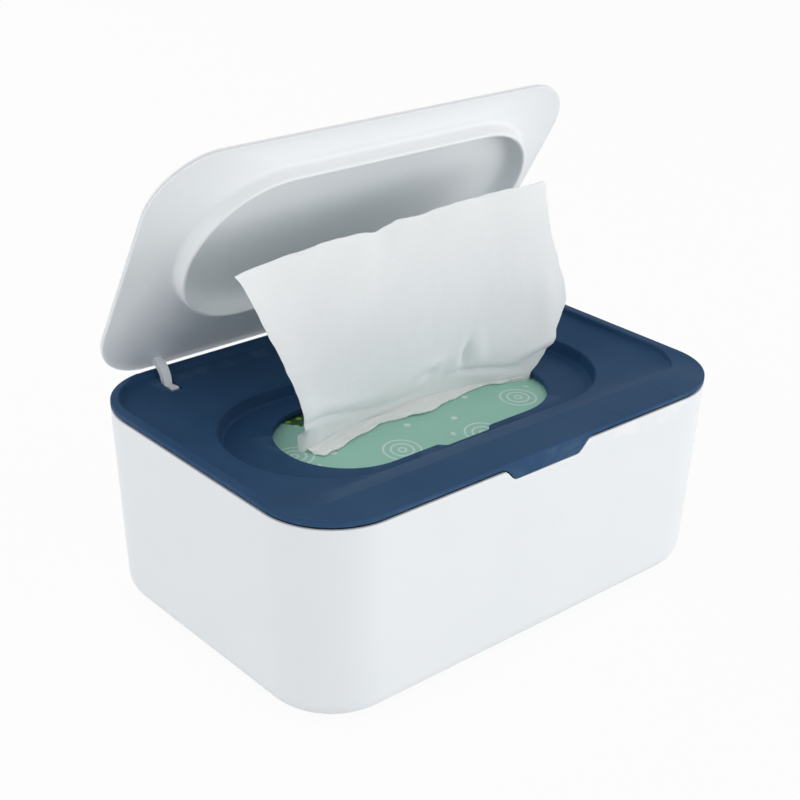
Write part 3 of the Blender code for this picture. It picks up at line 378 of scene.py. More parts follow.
class DispenserSettings(PropertyGroup):
    """All settings of the wipes dispenser."""

    box: PointerProperty(type=DispenserBoxSettings, name="Box", description="Box sizes")
    cover: PointerProperty(type=DispenserCoverSettings, name="Cover", description="Cover sizes")
    lid: PointerProperty(type=DispenserLidSettings, name="Lid", description="Lid sizes")
    pack: PointerProperty(type=DispenserPackSettings, name="Pack", description="Pack sizes")
    looks: PointerProperty(type=DispenserLookSettings, name="Looks", description="Colours")


def settings():
    """The scene's settings."""
    return bpy.context.scene.dispenser


# Places that follow from the settings


def parting_height():
    """Height at which the cover starts above the box."""
    return settings().box.height + settings().cover.parting


def rim_top():
    """Height of the cover's rim."""
    return parting_height() + settings().cover.rim_height


def seat_front():
    """Front end of the lid's seat."""
    return settings().cover.front_band - settings().box.width / 2


def seat_back():
    """Back end of the lid's seat."""
    return settings().box.width / 2 - settings().cover.back_lip_width


def seat_half_length():
    """Half the length of the lid's seat."""
    return settings().box.length / 2 - settings().cover.lip_width


def recess_edge():
    """Height of the oval recess's edge."""
    return rim_top() - settings().cover.recess_edge_drop


def recess_floor():
    """Height of the oval recess's floor."""
    return rim_top() - settings().cover.recess_floor_drop


def hinge_axis():
    """Place of the hinge axis, front to back and up."""
    lid = settings().lid
    return settings().box.width / 2 + lid.axis_behind, rim_top() - lid.axis_below


def lid_plane():
    """Height of the lid's plane when closed."""
    return recess_floor() + settings().lid.wall_drop + settings().cover.clearance


def lid_back():
    """Back end of the closed lid."""
    return seat_back() - settings().cover.clearance


def film_top():
    """Height of the film's top under the cover."""
    return recess_floor() - settings().cover.wall - settings().pack.top_gap


# Plain mathematics


def mix(low, high, share):
    """The value a share of the way from low to high."""
    return low + (high - low) * share


def ease(share):
    """A share with a smooth start and end."""
    share = min(1.0, max(0.0, share))
    return share * share * (3.0 - 2.0 * share)


def shares(count):
    """Even shares from 0 to 1, both ends included."""
    return [step / count for step in range(count + 1)]


def along(points, share):
    """A point on the smooth curve that passes through a list of points."""
    place = min(1.0, max(0.0, share)) * (len(points) - 1)
    index = min(int(place), len(points) - 2)
    local = place - index
    before = points[max(index - 1, 0)]
    after = points[min(index + 2, len(points) - 1)]
    values = []
    for a, b, c, d in zip(before, points[index], points[index + 1], after):
        bend = 2 * a - 5 * b + 4 * c - d
        twist = 3 * b - a - 3 * c + d
        values.append(0.5 * (2 * b + (c - a) * local + bend * local**2 + twist * local**3))
    return values


def height_at(points, x):
    """The second value of a list of points, read off at the first."""
    for (x_a, y_a), (x_b, y_b) in zip(points, points[1:]):
        if x <= x_b:
            return mix(y_a, y_b, ease((x - x_a) / (x_b - x_a)))
    return points[-1][1]


def ripple(x, y, z, wave):
    """Smooth noise at a place, by a wave's height, scale and seed."""
    height, scale, seed = wave
    return height * noise.noise(Vector((x * scale + seed, y * scale + seed * 0.7, z * scale - seed)))


# Outlines and meshes


def outline(half_x, front, back, front_radius, back_radius=None):
    """Points of a rounded rectangle, counter-clockwise from its right back corner."""
    if back_radius is None:
        back_radius = front_radius
    corners = (
        (half_x - back_radius, back - back_radius, back_radius),
        (back_radius - half_x, back - back_radius, back_radius),
        (front_radius - half_x, front + front_radius, front_radius),
        (half_x - front_radius, front + front_radius, front_radius),
    )
    points = []
    for quarter, (centre_x, centre_y, radius) in enumerate(corners):
        for share in shares(CORNER_STEPS):
            angle = (quarter + share) * pi / 2
            points.append((centre_x + radius * cos(angle), centre_y + radius * sin(angle)))
    return points


def centred_outline(length, width, inset, radius):
    """A rounded rectangle round the middle, drawn in by an inset."""
    half_y = width / 2 - inset
    return outline(length / 2 - inset, -half_y, half_y, radius)


def stadium(half_x, half_y):
    """An oval with straight long sides and nearly half-round ends."""
    return outline(half_x, -half_y, half_y, half_y - 0.0005)


def circle(centre, radius):
    """Points of a circle."""
    turns = [2 * pi * step / ROUND_STEPS for step in range(ROUND_STEPS)]
    return [(centre[0] + radius * cos(turn), centre[1] + radius * sin(turn)) for turn in turns]


def mirrored(right):
    """A line on the right side, with its mirror image on the left before it."""
    return [(-x, other) for x, other in reversed(right)] + right


def spaced(points, count):
    """A closed outline again, as count points equally far apart."""
    closed = list(points) + [points[0]]
    lengths = [0.0]
    for a, b in zip(closed, closed[1:]):
        lengths.append(lengths[-1] + ((a[0] - b[0]) ** 2 + (a[1] - b[1]) ** 2) ** 0.5)
    result, index = [], 0
    for step in range(count):
        target = lengths[-1] * step / count
        while lengths[index + 1] < target:
            index += 1
        share = (target - lengths[index]) / max(lengths[index + 1] - lengths[index], 1e-9)
        a, b = closed[index], closed[index + 1]
        result.append((mix(a[0], b[0], share), mix(a[1], b[1], share)))
    return result


def front_share(index):
    """1 at the front of an outline, 0 at its sides and back, easing round the front corners."""
    quarter, step = divmod(index, CORNER_STEPS + 1)
    if quarter < 2:
        return 0.0
    progress = step / CORNER_STEPS
    return ease(progress if quarter == 2 else 1.0 - progress)


def level(points, height):
    """A ring at one height."""
    return [(x, y, height) for x, y in points]


def levels(plan, steps):
    """Rings of a plan, each step giving what the plan takes and a height."""
    return [level(plan(spread), height) for spread, height in steps]


def between(inner, outer, share):
    """The outline a share of the way from inner to outer."""
    return [(mix(a[0], b[0], share), mix(a[1], b[1], share)) for a, b in zip(inner, outer)]


def shade(mesh):
    """Smooth shading with the hard edges kept."""
    mesh.shade_smooth()
    mesh.set_sharp_from_angle(angle=SHARP_ANGLE)


def finish_mesh(name, form):
    """Turn a bmesh into a smooth-shaded object of its own."""
    bmesh.ops.recalc_face_normals(form, faces=form.faces)
    mesh = bpy.data.meshes.new(name)
    form.to_mesh(mesh)
    form.free()
    shade(mesh)
    item = bpy.data.objects.new(name, mesh)
    bpy.context.scene.collection.objects.link(item)
    return item


def skin(name, rings, joined=False):
    """Skin rings of equal count: capped at both ends, or joined round into a closed band."""
    form = bmesh.new()
    rows = [[form.verts.new(point) for point in ring] for ring in rings]
    pairs = list(zip(rows, rows[1:]))
    if joined:
        pairs.append((rows[-1], rows[0]))
    for low, high in pairs:
        for index in range(len(low)):
            after = (index + 1) % len(low)
            form.faces.new((low[index], low[after], high[after], high[index]))
    if not joined:
        form.faces.new(list(reversed(rows[0])))
        form.faces.new(rows[-1])
    return finish_mesh(name, form)


def prism(name, profile, low, high):
    """A profile of places front to back and up, drawn out sideways."""
    return skin(name, [[(x, y, z) for y, z in profile] for x in (low, high)])


def column(name, plan, low, high):
    """A plan drawn out upward."""
    return skin(name, [level(plan, low), level(plan, high)])


def block(name, low, high):
    """A plain block between two corners, for cutting."""
    plan = [(low[0], low[1]), (high[0], low[1]), (high[0], high[1]), (low[0], high[1])]
    return column(name, plan, low[2], high[2])


def turned(name, centre, steps):
    """A round upright piece, skinned through steps of a radius and a height."""
    return skin(name, [level(circle(centre, radius), height) for radius, height in steps])


def disc(name, centre, radius, low, high):
    """An upright cylinder, for cutting and adding."""
    return turned(name, centre, ((radius, low), (radius, high)))


def apply_modifiers(item):
    """Bake an object's modifiers into its mesh."""
    graph = bpy.context.evaluated_depsgraph_get()
    mesh = bpy.data.meshes.new_from_object(item.evaluated_get(graph), depsgraph=graph)
    item.modifiers.clear()
    old = item.data
    item.data = mesh
    mesh.name = item.name
    bpy.data.meshes.remove(old)
    return item


def combine(target, tool, operation):
    """Cut a tool from the target, or add it, and take the tool away."""
    change = target.modifiers.new(operation.title(), "BOOLEAN")
    change.operation = operation
    change.solver = "EXACT"
    change.object = tool
    apply_modifiers(target)
    bpy.data.objects.remove(tool, do_unlink=True)
    return target


def soften(item, width):
    """Round the hard edges that the cuts left, and even out the shading."""
    bevel = item.modifiers.new("Soft edges", "BEVEL")
    bevel.width = width
    bevel.segments = 2
    bevel.limit_method = "ANGLE"
    bevel.angle_limit = BEVEL_ANGLE
    bevel.miter_outer = "MITER_ARC"
    apply_modifiers(item)
    shade(item.data)
    even = item.modifiers.new("Even shading", "WEIGHTED_NORMAL")
    even.keep_sharp = True
    even.weight = 100
    return apply_modifiers(item)


def dress(item, material, body, node):
    """Give a finished piece its material and body, and let it stand for its CAD node."""
    item.data.materials.clear()
    item.data.materials.append(material)
    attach(item, body)
    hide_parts(node)
    return item


# Shader nodes


def feed(tree, item, inputs):
    """Give a node its inputs: sockets are linked, and plain values are set."""
    for key, value in inputs.items():
        if isinstance(value, bpy.types.NodeSocket):
            tree.links.new(value, item.inputs[key])
        else:
            item.inputs[key].default_value = value


def shader_node(tree, kind, inputs=None, **values):
    """A node with its settings and its inputs."""
    item = tree.nodes.new(kind)
    for key, value in values.items():
        setattr(item, key, value)
    feed(tree, item, inputs or {})
    return item


def math_node(tree, operation, first, second=0.0, third=0.0, clamp=False):
    """The output of a Math node."""
    inputs = {0: first, 1: second, 2: third}
    item = shader_node(tree, "ShaderNodeMath", inputs, operation=operation, use_clamp=clamp)
    return item.outputs[0]


def product(tree, first, second):
    """One value times another."""
    return math_node(tree, "MULTIPLY", first, second)


def rest_of(tree, value):
    """1 less a value."""
    return math_node(tree, "SUBTRACT", 1.0, value)


def mix_node(tree, factor, first, second):
    """The output of a Mix node for colours."""
    inputs = {0: factor, 6: first, 7: second}
    return shader_node(tree, "ShaderNodeMix", inputs, data_type="RGBA").outputs[2]


def noise_node(tree, vector, scale, detail=2.0, roughness=0.5):
    """The height of a Noise texture."""
    inputs = {"Vector": vector, "Scale": scale, "Detail": detail, "Roughness": roughness}
    return shader_node(tree, "ShaderNodeTexNoise", inputs).outputs[0]


def cells_node(tree, vector, scale, uneven, **values):
    """How far each place is from the nearest middle of a cell texture's cells."""
    inputs = {"Vector": vector, "Scale": scale, "Randomness": uneven}
    return shader_node(tree, "ShaderNodeTexVoronoi", inputs, **values).outputs["Distance"]


def stretched_node(tree, vector, scale, turn):
    """Coordinates stretched and turned."""
    inputs = {"Vector": vector, "Scale": scale, "Rotation": turn}
    return shader_node(tree, "ShaderNodeMapping", inputs).outputs[0]


def ramp_node(tree, value, low, high):
    """A value spread from 0 to 1 between two limits, with soft ends."""
    inputs = {"Value": value, "From Min": low, "From Max": high}
    item = shader_node(tree, "ShaderNodeMapRange", inputs, interpolation_type="SMOOTHSTEP")
    return item.outputs[0]


def bump_node(tree, height, strength, distance, normal=None):
    """The normal that a height gives."""
    inputs = {"Height": height, "Strength": strength, "Distance": distance}
    if normal is not None:
        inputs["Normal"] = normal
    return shader_node(tree, "ShaderNodeBump", inputs).outputs[0]


def new_group(name, kind, inputs, outputs):
    """A node group with named inputs and outputs: its tree, inputs' sockets and last node."""
    tree = bpy.data.node_groups.new(name, kind)
    for way, sockets in (("INPUT", inputs), ("OUTPUT", outputs)):
        for label, sort in sockets.items():
            tree.interface.new_socket(label, in_out=way, socket_type=f"NodeSocket{sort}")
    return tree, tree.nodes.new("NodeGroupInput").outputs, tree.nodes.new("NodeGroupOutput")


def effect(name, build):
    """A shader node group, built once."""
    return bpy.data.node_groups.get(name) or build(name)


def moulded_group(name):
    """Moulded plastic: faint mottling, fine spark grain, hairlines, and a painted highlight on
    convex edges, in patches.
    """
    inputs = {"Vector": "Vector", "Colour": "Color", "Mottle and highlight colour": "Color"}
    inputs |= {"Mottling": "Float", "Grain depth": "Float", "Roughness": "Float"}
    outputs = {"Colour": "Color", "Roughness": "Float", "Normal": "Vector"}
    tree, start, end = new_group(name, "ShaderNodeTree", inputs, outputs)
    place, mottle_and_highlight_colour = start["Vector"], start["Mottle and highlight colour"]
    broad = ramp_node(tree, noise_node(tree, place, 22.0, 3.0), 0.35, 0.65)
    grain = noise_node(tree, place, 2600.0, 2.0, 0.6)
    stretched = stretched_node(tree, place, (260.0, 18.0, 40.0), (0.2, 0.3, 0.9))
    hairline = ramp_node(tree, noise_node(tree, stretched, 1.0, 1.0), 0.70, 0.76)
    # Painted highlight: convex edges, found by pointiness and broken into patches, are lightened
    # towards the highlight colour
    pointed = shader_node(tree, "ShaderNodeNewGeometry").outputs["Pointiness"]
    patchy = ramp_node(tree, noise_node(tree, place, 160.0, 3.0), 0.35, 0.75)
    painted_edge_light = product(tree, ramp_node(tree, pointed, 0.535, 0.62), patchy)
    mottled = product(tree, broad, start["Mottling"])
    tone = mix_node(tree, mottled, start["Colour"], mottle_and_highlight_colour)
    rough = math_node(tree, "MULTIPLY_ADD", broad, 0.05, -0.025)
    rough = math_node(tree, "ADD", rough, start["Roughness"])
    rough = math_node(tree, "ADD", rough, product(tree, hairline, 0.08), clamp=True)
    normal = bump_node(tree, grain, start["Grain depth"], 0.00005)
    # The painted edge highlight is laid over the mottled tone here
    tone = mix_node(tree, painted_edge_light, tone, mottle_and_highlight_colour)
    feed(tree, end, {"Colour": tone, "Roughness": rough, "Normal": normal})
    return tree


def cloth_group(name):
    """Nonwoven cloth: short crossing fibres, a faint pressed pattern and soft crinkles."""
    inputs = {"Vector": "Vector", "Colour": "Color", "Shade": "Color"}
    inputs |= {"Fibre depth": "Float", "Crinkle depth": "Float"}
    outputs = {"Colour": "Color", "Normal": "Vector"}
    tree, start, end = new_group(name, "ShaderNodeTree", inputs, outputs)
    place = start["Vector"]
    fibres = None
    for turn, stretch in ((0.5, 5.0), (-0.7, 6.0), (1.5, 4.0)):
        scale = (260.0, 1400.0, 260.0 * stretch)
        along_thread = stretched_node(tree, place, scale, (0.0, turn, 0.0))
        thread = noise_node(tree, along_thread, 1.0, 2.0, 0.6)
        fibres = thread if fibres is None else math_node(tree, "ADD", fibres, thread)
    pressed = ramp_node(tree, cells_node(tree, place, 620.0, 0.35), 0.25, 0.45)
    crinkle = noise_node(tree, place, 210.0, 4.0, 0.62)
    patch = ramp_node(tree, noise_node(tree, place, 26.0, 1.0), 0.50, 0.72)
    normal = bump_node(tree, fibres, start["Fibre depth"], 0.00006)
    normal = bump_node(tree, pressed, 0.18, 0.00005, normal)
    crinkle = product(tree, crinkle, patch)
    normal = bump_node(tree, crinkle, start["Crinkle depth"], 0.0012, normal)
    broad = ramp_node(tree, noise_node(tree, place, 34.0, 3.0), 0.3, 0.7)
    thin = product(tree, ramp_node(tree, fibres, 1.1, 1.9), 0.25)
    dim = math_node(tree, "MULTIPLY_ADD", broad, 0.35, thin)
    tone = mix_node(tree, dim, start["Colour"], start["Shade"])
    feed(tree, end, {"Colour": tone, "Normal": normal})
    return tree


def print_group(name):
    """The film's print: pale rings and dots on mint, and a dark patch with lime dots."""
    inputs = {"Vector": "Vector", "Ground": "Color", "Pale": "Color"}
    inputs |= {"Patch": "Color", "Dots": "Color"}
    tree, start, end = new_group(name, "ShaderNodeTree", inputs, {"Colour": "Color"})
    place = start["Vector"]
    flat = {"voronoi_dimensions": "2D"}
    across, back, _ = shader_node(tree, "ShaderNodeSeparateXYZ", {0: place}).outputs
    away = cells_node(tree, place, 34.0, 0.6, **flat)
    rings = ramp_node(tree, math_node(tree, "PINGPONG", away, 0.045), 0.030, 0.036)
    rings = product(tree, rings, rest_of(tree, ramp_node(tree, away, 0.268, 0.272)))
    sprinkle = cells_node(tree, place, 66.0, 1.0, **flat)
    dots = rest_of(tree, ramp_node(tree, sprinkle, 0.075, 0.090))
    dots = product(tree, dots, ramp_node(tree, away, 0.34, 0.35))
    pale = math_node(tree, "MAXIMUM", rings, dots)
    ground = mix_node(tree, pale, start["Ground"], start["Pale"])
    wave = math_node(tree, "SINE", product(tree, across, 95.0))
    edge = math_node(tree, "MULTIPLY_ADD", wave, 0.0016, back)
    slant = math_node(tree, "MULTIPLY_ADD", back, 0.45, across)
    patch = ramp_node(tree, edge, 0.0180, 0.0184)
    patch = product(tree, patch, ramp_node(tree, slant, -0.0294, -0.0290))
    small = cells_node(tree, place, 210.0, 0.0, **flat)
    lime = rest_of(tree, ramp_node(tree, small, 0.20, 0.26))
    dark = mix_node(tree, lime, start["Patch"], start["Dots"])
    feed(tree, end, {"Colour": mix_node(tree, patch, ground, dark)})
    return tree


def new_material(name):
    """A material with its tree, its Principled shader and its object coordinates."""
    material = bpy.data.materials.new(name)
    material.use_nodes = True
    tree = material.node_tree
    place = tree.nodes.new("ShaderNodeTexCoord").outputs["Object"]
    return material, tree, tree.nodes["Principled BSDF"], place


def soft_light(weight, depth):
    """Shader inputs for light that spreads inside: its share and how deep it goes."""
    return {
        "Subsurface Weight": weight,
        "Subsurface Radius": (1.0, 1.0, 1.0),
        "Subsurface Scale": depth,
    }


def opaque(values):
    """A colour setting as a socket takes it."""
    return (*values, 1.0)


def plastic(name, tone, painted_edge_light, roughness, grain, mottling, specular, glow=0.0):
    """A moulded plastic, with the share of light that spreads inside it."""
    material, tree, shader, place = new_material(name)
    inputs = {
        "Vector": place,
        "Colour": opaque(tone),
        # The second colour tints the mottling and is the painted highlight on convex edges
        "Mottle and highlight colour": opaque(painted_edge_light),
        "Mottling": mottling,
        "Grain depth": grain,
        "Roughness": roughness,
    }
    group = effect("Moulded plastic", moulded_group)
    finish = shader_node(tree, "ShaderNodeGroup", inputs, node_tree=group).outputs
    feed(tree, shader, {"Base Color": finish["Colour"], "Roughness": finish["Roughness"]})
    feed(tree, shader, {"Normal": finish["Normal"], "Specular IOR Level": specular})
    feed(tree, shader, soft_light(glow, 0.0030))
    return material


def wipe_cloth(name, tone, shade_tone, crinkle):
    """A soft nonwoven cloth."""
    material, tree, shader, place = new_material(name)
    inputs = {
        "Vector": place,
        "Colour": opaque(tone),
        "Shade": opaque(shade_tone),
        "Fibre depth": 0.07,
        "Crinkle depth": crinkle,
    }
    group = effect("Nonwoven cloth", cloth_group)
    finish = shader_node(tree, "ShaderNodeGroup", inputs, node_tree=group).outputs
    feed(tree, shader, {"Base Color": finish["Colour"], "Normal": finish["Normal"]})
    feed(tree, shader, {"Roughness": 0.9, "Specular IOR Level": 0.2})
    feed(tree, shader, soft_light(0.35, 0.0025))
    return material


def printed_film(name, looks):
    """The pack's glossy printed film."""
    material, tree, shader, place = new_material(name)
    inputs = {
        "Vector": place,
        "Ground": opaque(looks.mint),
        "Pale": opaque(looks.mint_pale),
        "Patch": opaque(looks.green),
        "Dots": opaque(looks.lime),
    }
    group = effect("Film print", print_group)
    finish = shader_node(tree, "ShaderNodeGroup", inputs, node_tree=group).outputs
    crease = noise_node(tree, place, 120.0, 3.0, 0.55)
    cloudy = ramp_node(tree, noise_node(tree, place, 60.0, 2.0), 0.2, 0.8)
    rough = math_node(tree, "MULTIPLY_ADD", cloudy, 0.12, 0.34)
    normal = bump_node(tree, crease, 0.25, 0.0010)
    feed(tree, shader, {"Base Color": finish["Colour"], "Roughness": rough, "Normal": normal})
    feed(tree, shader, {"Specular IOR Level": 0.3})
    return material


def brushed_steel(name):
    """The screws' plated steel."""
    material, tree, shader, place = new_material(name)
    dull = ramp_node(tree, noise_node(tree, place, 900.0, 3.0), 0.35, 0.7)
    tone = mix_node(tree, dull, (0.62, 0.63, 0.65, 1.0), (0.44, 0.45, 0.47, 1.0))
    normal = bump_node(tree, noise_node(tree, place, 3200.0, 2.0), 0.2, 0.00003)
    feed(tree, shader, {"Base Color": tone, "Normal": normal, "Metallic": 1.0, "Roughness": 0.32})
    return material


def soft_rubber(name, tone):
    """The pads' soft rubber."""
    material, tree, shader, place = new_material(name)
    dusty = ramp_node(tree, noise_node(tree, place, 240.0, 4.0), 0.45, 0.8)
    pale = tuple(mix(value, 0.5, 0.35) for value in tone)
    tone = mix_node(tree, dusty, opaque(tone), opaque(pale))
    normal = bump_node(tree, noise_node(tree, place, 1800.0, 3.0), 0.4, 0.00006)
    feed(tree, shader, {"Base Color": tone, "Normal": normal})
    feed(tree, shader, {"Roughness": 0.82, "Specular IOR Level": 0.3})
    return material


# Geometry Nodes


def geometry_tree(name, inputs):
    """A geometry node tree with a mesh in, a mesh out and named inputs."""
    mesh = {"Geometry": "Geometry"}
    return new_group(name, "GeometryNodeTree", mesh | inputs | {"Material": "Material"}, mesh)


def end_tree(tree, start, end, mesh):
    """Give the finished mesh its material and put it out."""
    inputs = {"Geometry": mesh, "Material": start["Material"]}
    feed(tree, end, {0: shader_node(tree, "GeometryNodeSetMaterial", inputs).outputs[0]})
    return tree


def vector_node(tree, x=0.0, y=0.0, z=0.0):
    """A vector made of three values."""
    return shader_node(tree, "ShaderNodeCombineXYZ", {0: x, 1: y, 2: z}).outputs[0]


def repeat_node(tree, points, shape, **inputs):
    """A shape set on each point."""
    inputs |= {"Points": points, "Instance": shape}
    return shader_node(tree, "GeometryNodeInstanceOnPoints", inputs).outputs[0]


def realize_node(tree, shapes):
    """Repeated shapes made one mesh."""
    return shader_node(tree, "GeometryNodeRealizeInstances", {0: shapes}).outputs[0]


def run_tree(item, tree, values):
    """Set the tree's named inputs on the object, and bake what it makes."""
    change = item.modifiers.new(tree.name, "NODES")
    change.node_group = tree
    for socket in tree.interface.items_tree:
        if socket.in_out == "INPUT" and socket.name in values:
            change[socket.identifier] = values[socket.name]
    return apply_modifiers(item)


def stack_tree():
    """Repeats one folded layer upward, narrower near the base, each a little out of line."""
    inputs = {"Layers": "Int", "Pitch": "Float", "Narrow height": "Float"}
    inputs |= {"Narrowing": "Float", "Shift": "Float", "Seed": "Int"}
    tree, start, end = geometry_tree("Folded layers", inputs)
    offset = vector_node(tree, z=start["Pitch"])
    line = shader_node(
        tree,
        "GeometryNodeMeshLine",
        {"Count": start["Layers"], "Offset": offset},
        mode="OFFSET",
        count_mode="TOTAL",
    ).outputs[0]
    index = tree.nodes.new("GeometryNodeInputIndex").outputs[0]
    height = product(tree, index, start["Pitch"])
    share = math_node(tree, "DIVIDE", height, start["Narrow height"], clamp=True)
    low = rest_of(tree, share)
    drawn = product(tree, product(tree, low, low), start["Narrowing"])
    width = rest_of(tree, drawn)
    layers = repeat_node(tree, line, start["Geometry"], Scale=vector_node(tree, width, width, 1.0))
    sway = {"Seed": start["Seed"], 2: -1.0, 3: 1.0}
    sway = shader_node(tree, "FunctionNodeRandomValue", sway, data_type="FLOAT").outputs[1]
    moved = product(tree, sway, start["Shift"])
    shifted = {"Instances": layers, "Translation": vector_node(tree, moved, moved)}
    shifted = shader_node(tree, "GeometryNodeTranslateInstances", shifted).outputs[0]
    return end_tree(tree, start, end, realize_node(tree, shifted))


def grip_tree():
    """Sets rings of small domes under a pad, and joins them to it."""
    inputs = {"Domes": "Int", "Ring radius": "Float", "Dome radius": "Float"}
    inputs |= {"Dome height": "Float", "Place": "Vector"}
    tree, start, end = geometry_tree("Pad grip", inputs)
    join = shader_node(tree, "GeometryNodeJoinGeometry", {0: start["Geometry"]})
    dome = {"Segments": 14, "Rings": 8, "Radius": start["Dome radius"]}
    dome = shader_node(tree, "GeometryNodeMeshUVSphere", dome).outputs[0]
    flat = math_node(tree, "DIVIDE", start["Dome height"], start["Dome radius"])
    squat = vector_node(tree, 1.0, 1.0, flat)
    for share, count_share in ((1.0, 1.0), (0.55, 0.5)):
        count = product(tree, start["Domes"], count_share)
        radius = product(tree, start["Ring radius"], share)
        ring = {"Vertices": count, "Radius": radius}
        ring = shader_node(tree, "GeometryNodeMeshCircle", ring).outputs[0]
        feed(tree, join, {0: repeat_node(tree, ring, dome, Scale=squat)})
    placed = {"Geometry": realize_node(tree, join.outputs[0]), "Translation": start["Place"]}
    placed = shader_node(tree, "GeometryNodeTransform", placed).outputs[0]
    smooth = shader_node(tree, "GeometryNodeSetShadeSmooth", {0: placed}).outputs[0]
    return end_tree(tree, start, end, smooth)


# Box and feet


def box_outline(height, inset=0.0):
    """The box's plan at a height, drawn in by an inset."""
    box = settings().box
    share = 1.0 - height / box.height
    radius = box.corner_radius - box.corner_narrowing * share - inset
    return centred_outline(box.length, box.width, box.taper * share + inset, radius)


def box_rings(steps):
    """Rings of the box at steps of a height and an inset."""
    return [level(box_outline(height, inset), height) for height, inset in steps]


def base_rings(radius, floor, wall):
    """Rings of a filleted base, from the flat floor up the wall."""
    turns = [share * pi / 2 for share in shares(FILLET_STEPS)]
    return box_rings(
        (floor + radius * (1.0 - cos(turn)), wall + radius * (1.0 - sin(turn))) for turn in turns
    )


def tongue_outline(gap, top):
    """The tongue's front view: a straight foot with S-curved shoulders."""
    cover = settings().cover
    foot = parting_height() - cover.tongue_drop - gap
    curve = []
    for share in shares(CURVE_STEPS):
        x = cover.tongue_width / 2 + gap + cover.tongue_shoulder * share
        curve.append((x, foot + cover.tongue_drop * (1.0 - cos(pi * share)) / 2))
    return mirrored(curve + [(curve[-1][0], top)])


def tongue_body(name, gap, top, front_out, depth):
    """The tongue as a solid that leans with the box's front wall."""
    box = settings().box
    rows = []
    for back in (0.0, depth):
        row = []
        for x, z in tongue_outline(gap, top):
            lean = box.taper * max(0.0, 1.0 - z / box.height)
            row.append((x, lean - box.width / 2 - front_out + back, z))
        rows.append(row)
    return skin(name, rows)


def foot_places():
    """Names and places of the four pads."""
    box = settings().box
    reach_x = box.length / 2 - box.taper - box.base_fillet - box.foot_inset
    reach_y = box.width / 2 - box.taper - box.base_fillet - box.foot_inset
    for end, side_y in (("front", -1), ("back", 1)):
        for hand, side_x in HANDS:
            yield f"foot_{end}_{hand}", (side_x * reach_x, side_y * reach_y)


def build_box():
    """The open box, with the notch for the tongue and seats for the pads."""
    box = settings().box
    edge = box.rim_edge
    rim = box.height - box.rim_gap
    step = rim - box.rim_step
    rings = base_rings(box.base_fillet, 0.0, 0.0)
    rings += box_rings(((0.022, 0.0), (0.036, 0.0), (0.050, 0.0), (0.062, 0.0)))
    rings += box_rings(((rim - edge, 0.0), (rim - edge * 0.3, edge * 0.3), (rim, edge)))
    rings += box_rings(((rim, box.rim_land), (step, box.rim_land)))
    rings += box_rings(((step, box.wall - edge), (step - edge, box.wall)))
    rings += reversed(base_rings(box.base_fillet - box.wall, box.floor, box.wall))
    item = skin("box_shell", rings)
    above = box.height + settings().cover.tongue_thickness
    notch = tongue_body("notch", NOTCH_GAP, above, box.wall, box.wall * 4)
    combine(item, notch, "DIFFERENCE")
    radius = box.foot_radius + settings().cover.clearance
    for name, centre in foot_places():
        seat = disc(f"{name}_seat", centre, radius, -box.foot_seat, box.foot_seat)
        combine(item, seat, "DIFFERENCE")
    return soften(item, BOX_SOFTENING)


def build_pad(name, centre, material):
    """One round pad with a turned edge and rings of grip domes."""
    box = settings().box
    top = box.foot_seat - settings().cover.clearance
    base = -box.foot_stand / 2
    radius = box.foot_radius
    steps = (
        (radius - 0.0004, top),
        (radius, top - 0.0003),
        (radius, -0.0001),
        (radius - 0.00015, base + 0.0001),
        (radius - 0.0005, base),
        (radius - 0.0009, base + 0.00015),
    )
    pad = turned(f"pad_{name}", (0.0, 0.0), [(out, height - base) for out, height in steps])
    values = {"Domes": 12, "Ring radius": 0.0046, "Dome radius": 0.0008}
    values |= {"Dome height": box.foot_stand / 2, "Place": (*centre, base)}
    return run_tree(pad, grip_tree(), values | {"Material": material})


# Cover


def rim_outline(inset):
    """The cover's outer plan, drawn in by an inset."""
    box = settings().box
    return centred_outline(box.length, box.width, inset, box.corner_radius - inset)


def seat_outline(spread):
    """The lid seat's plan, widened by a spread."""
    cover = settings().cover
    return outline(
        seat_half_length() + spread,
        seat_front() - spread,
        seat_back() + spread,
        cover.seat_front_radius + spread,
        cover.seat_back_radius + spread,
    )


def recess_outline(spread):
    """The oval recess's plan, widened by a spread."""
    cover = settings().cover
    return stadium(cover.recess_length / 2 + spread, cover.recess_width / 2 + spread)


def opening_outline(spread):
    """The dispensing opening's plan, widened by a spread."""
    cover = settings().cover
    return stadium(cover.opening_length / 2 + spread, cover.opening_width / 2 + spread)


def front_slope(y):
    """Height of the finger scoop between the front band and the recess."""
    cover = settings().cover
    share = (y - seat_front()) / (-cover.recess_width / 2 - seat_front())
    share = min(1.0, max(0.0, share))
    return rim_top() - cover.recess_edge_drop * (0.8 * share + 0.2 * share * share)


def deck_ring(points, side_height, below=0.0):
    """A ring on the deck: the side height, or the finger scoop where it faces the front."""
    ring = []
    for index, (x, y) in enumerate(points):
        height = mix(side_height, front_slope(y), front_share(index))
        ring.append((x, y, height - below))
    return ring


def seat_rings():
    """Rings over the lip and down the seat's wall."""
    depth = settings().cover.seat_depth
    steps = (
        (0.00070, 0.0), (0.00040, 0.00004), (0.00018, 0.00016), (0.00004, 0.00036),
        (0.0, 0.0006),
        (-0.00015, depth - 0.0008),
        (-0.0003, depth - 0.0004),
        (-0.0006, depth - 0.00014),
        (-0.0013, depth),
    )
    return [deck_ring(seat_outline(spread), rim_top() - drop) for spread, drop in steps]


def dish_rings(inner, outer, first_height, last_height, below=0.0):
    """Rings across the dished deck, from the seat to the recess."""
    rings = []
    for share in shares(DECK_STEPS)[1:-1]:
        height = mix(first_height, last_height, share)
        rings.append(deck_ring(between(outer, inner, share), height, below))
    return rings


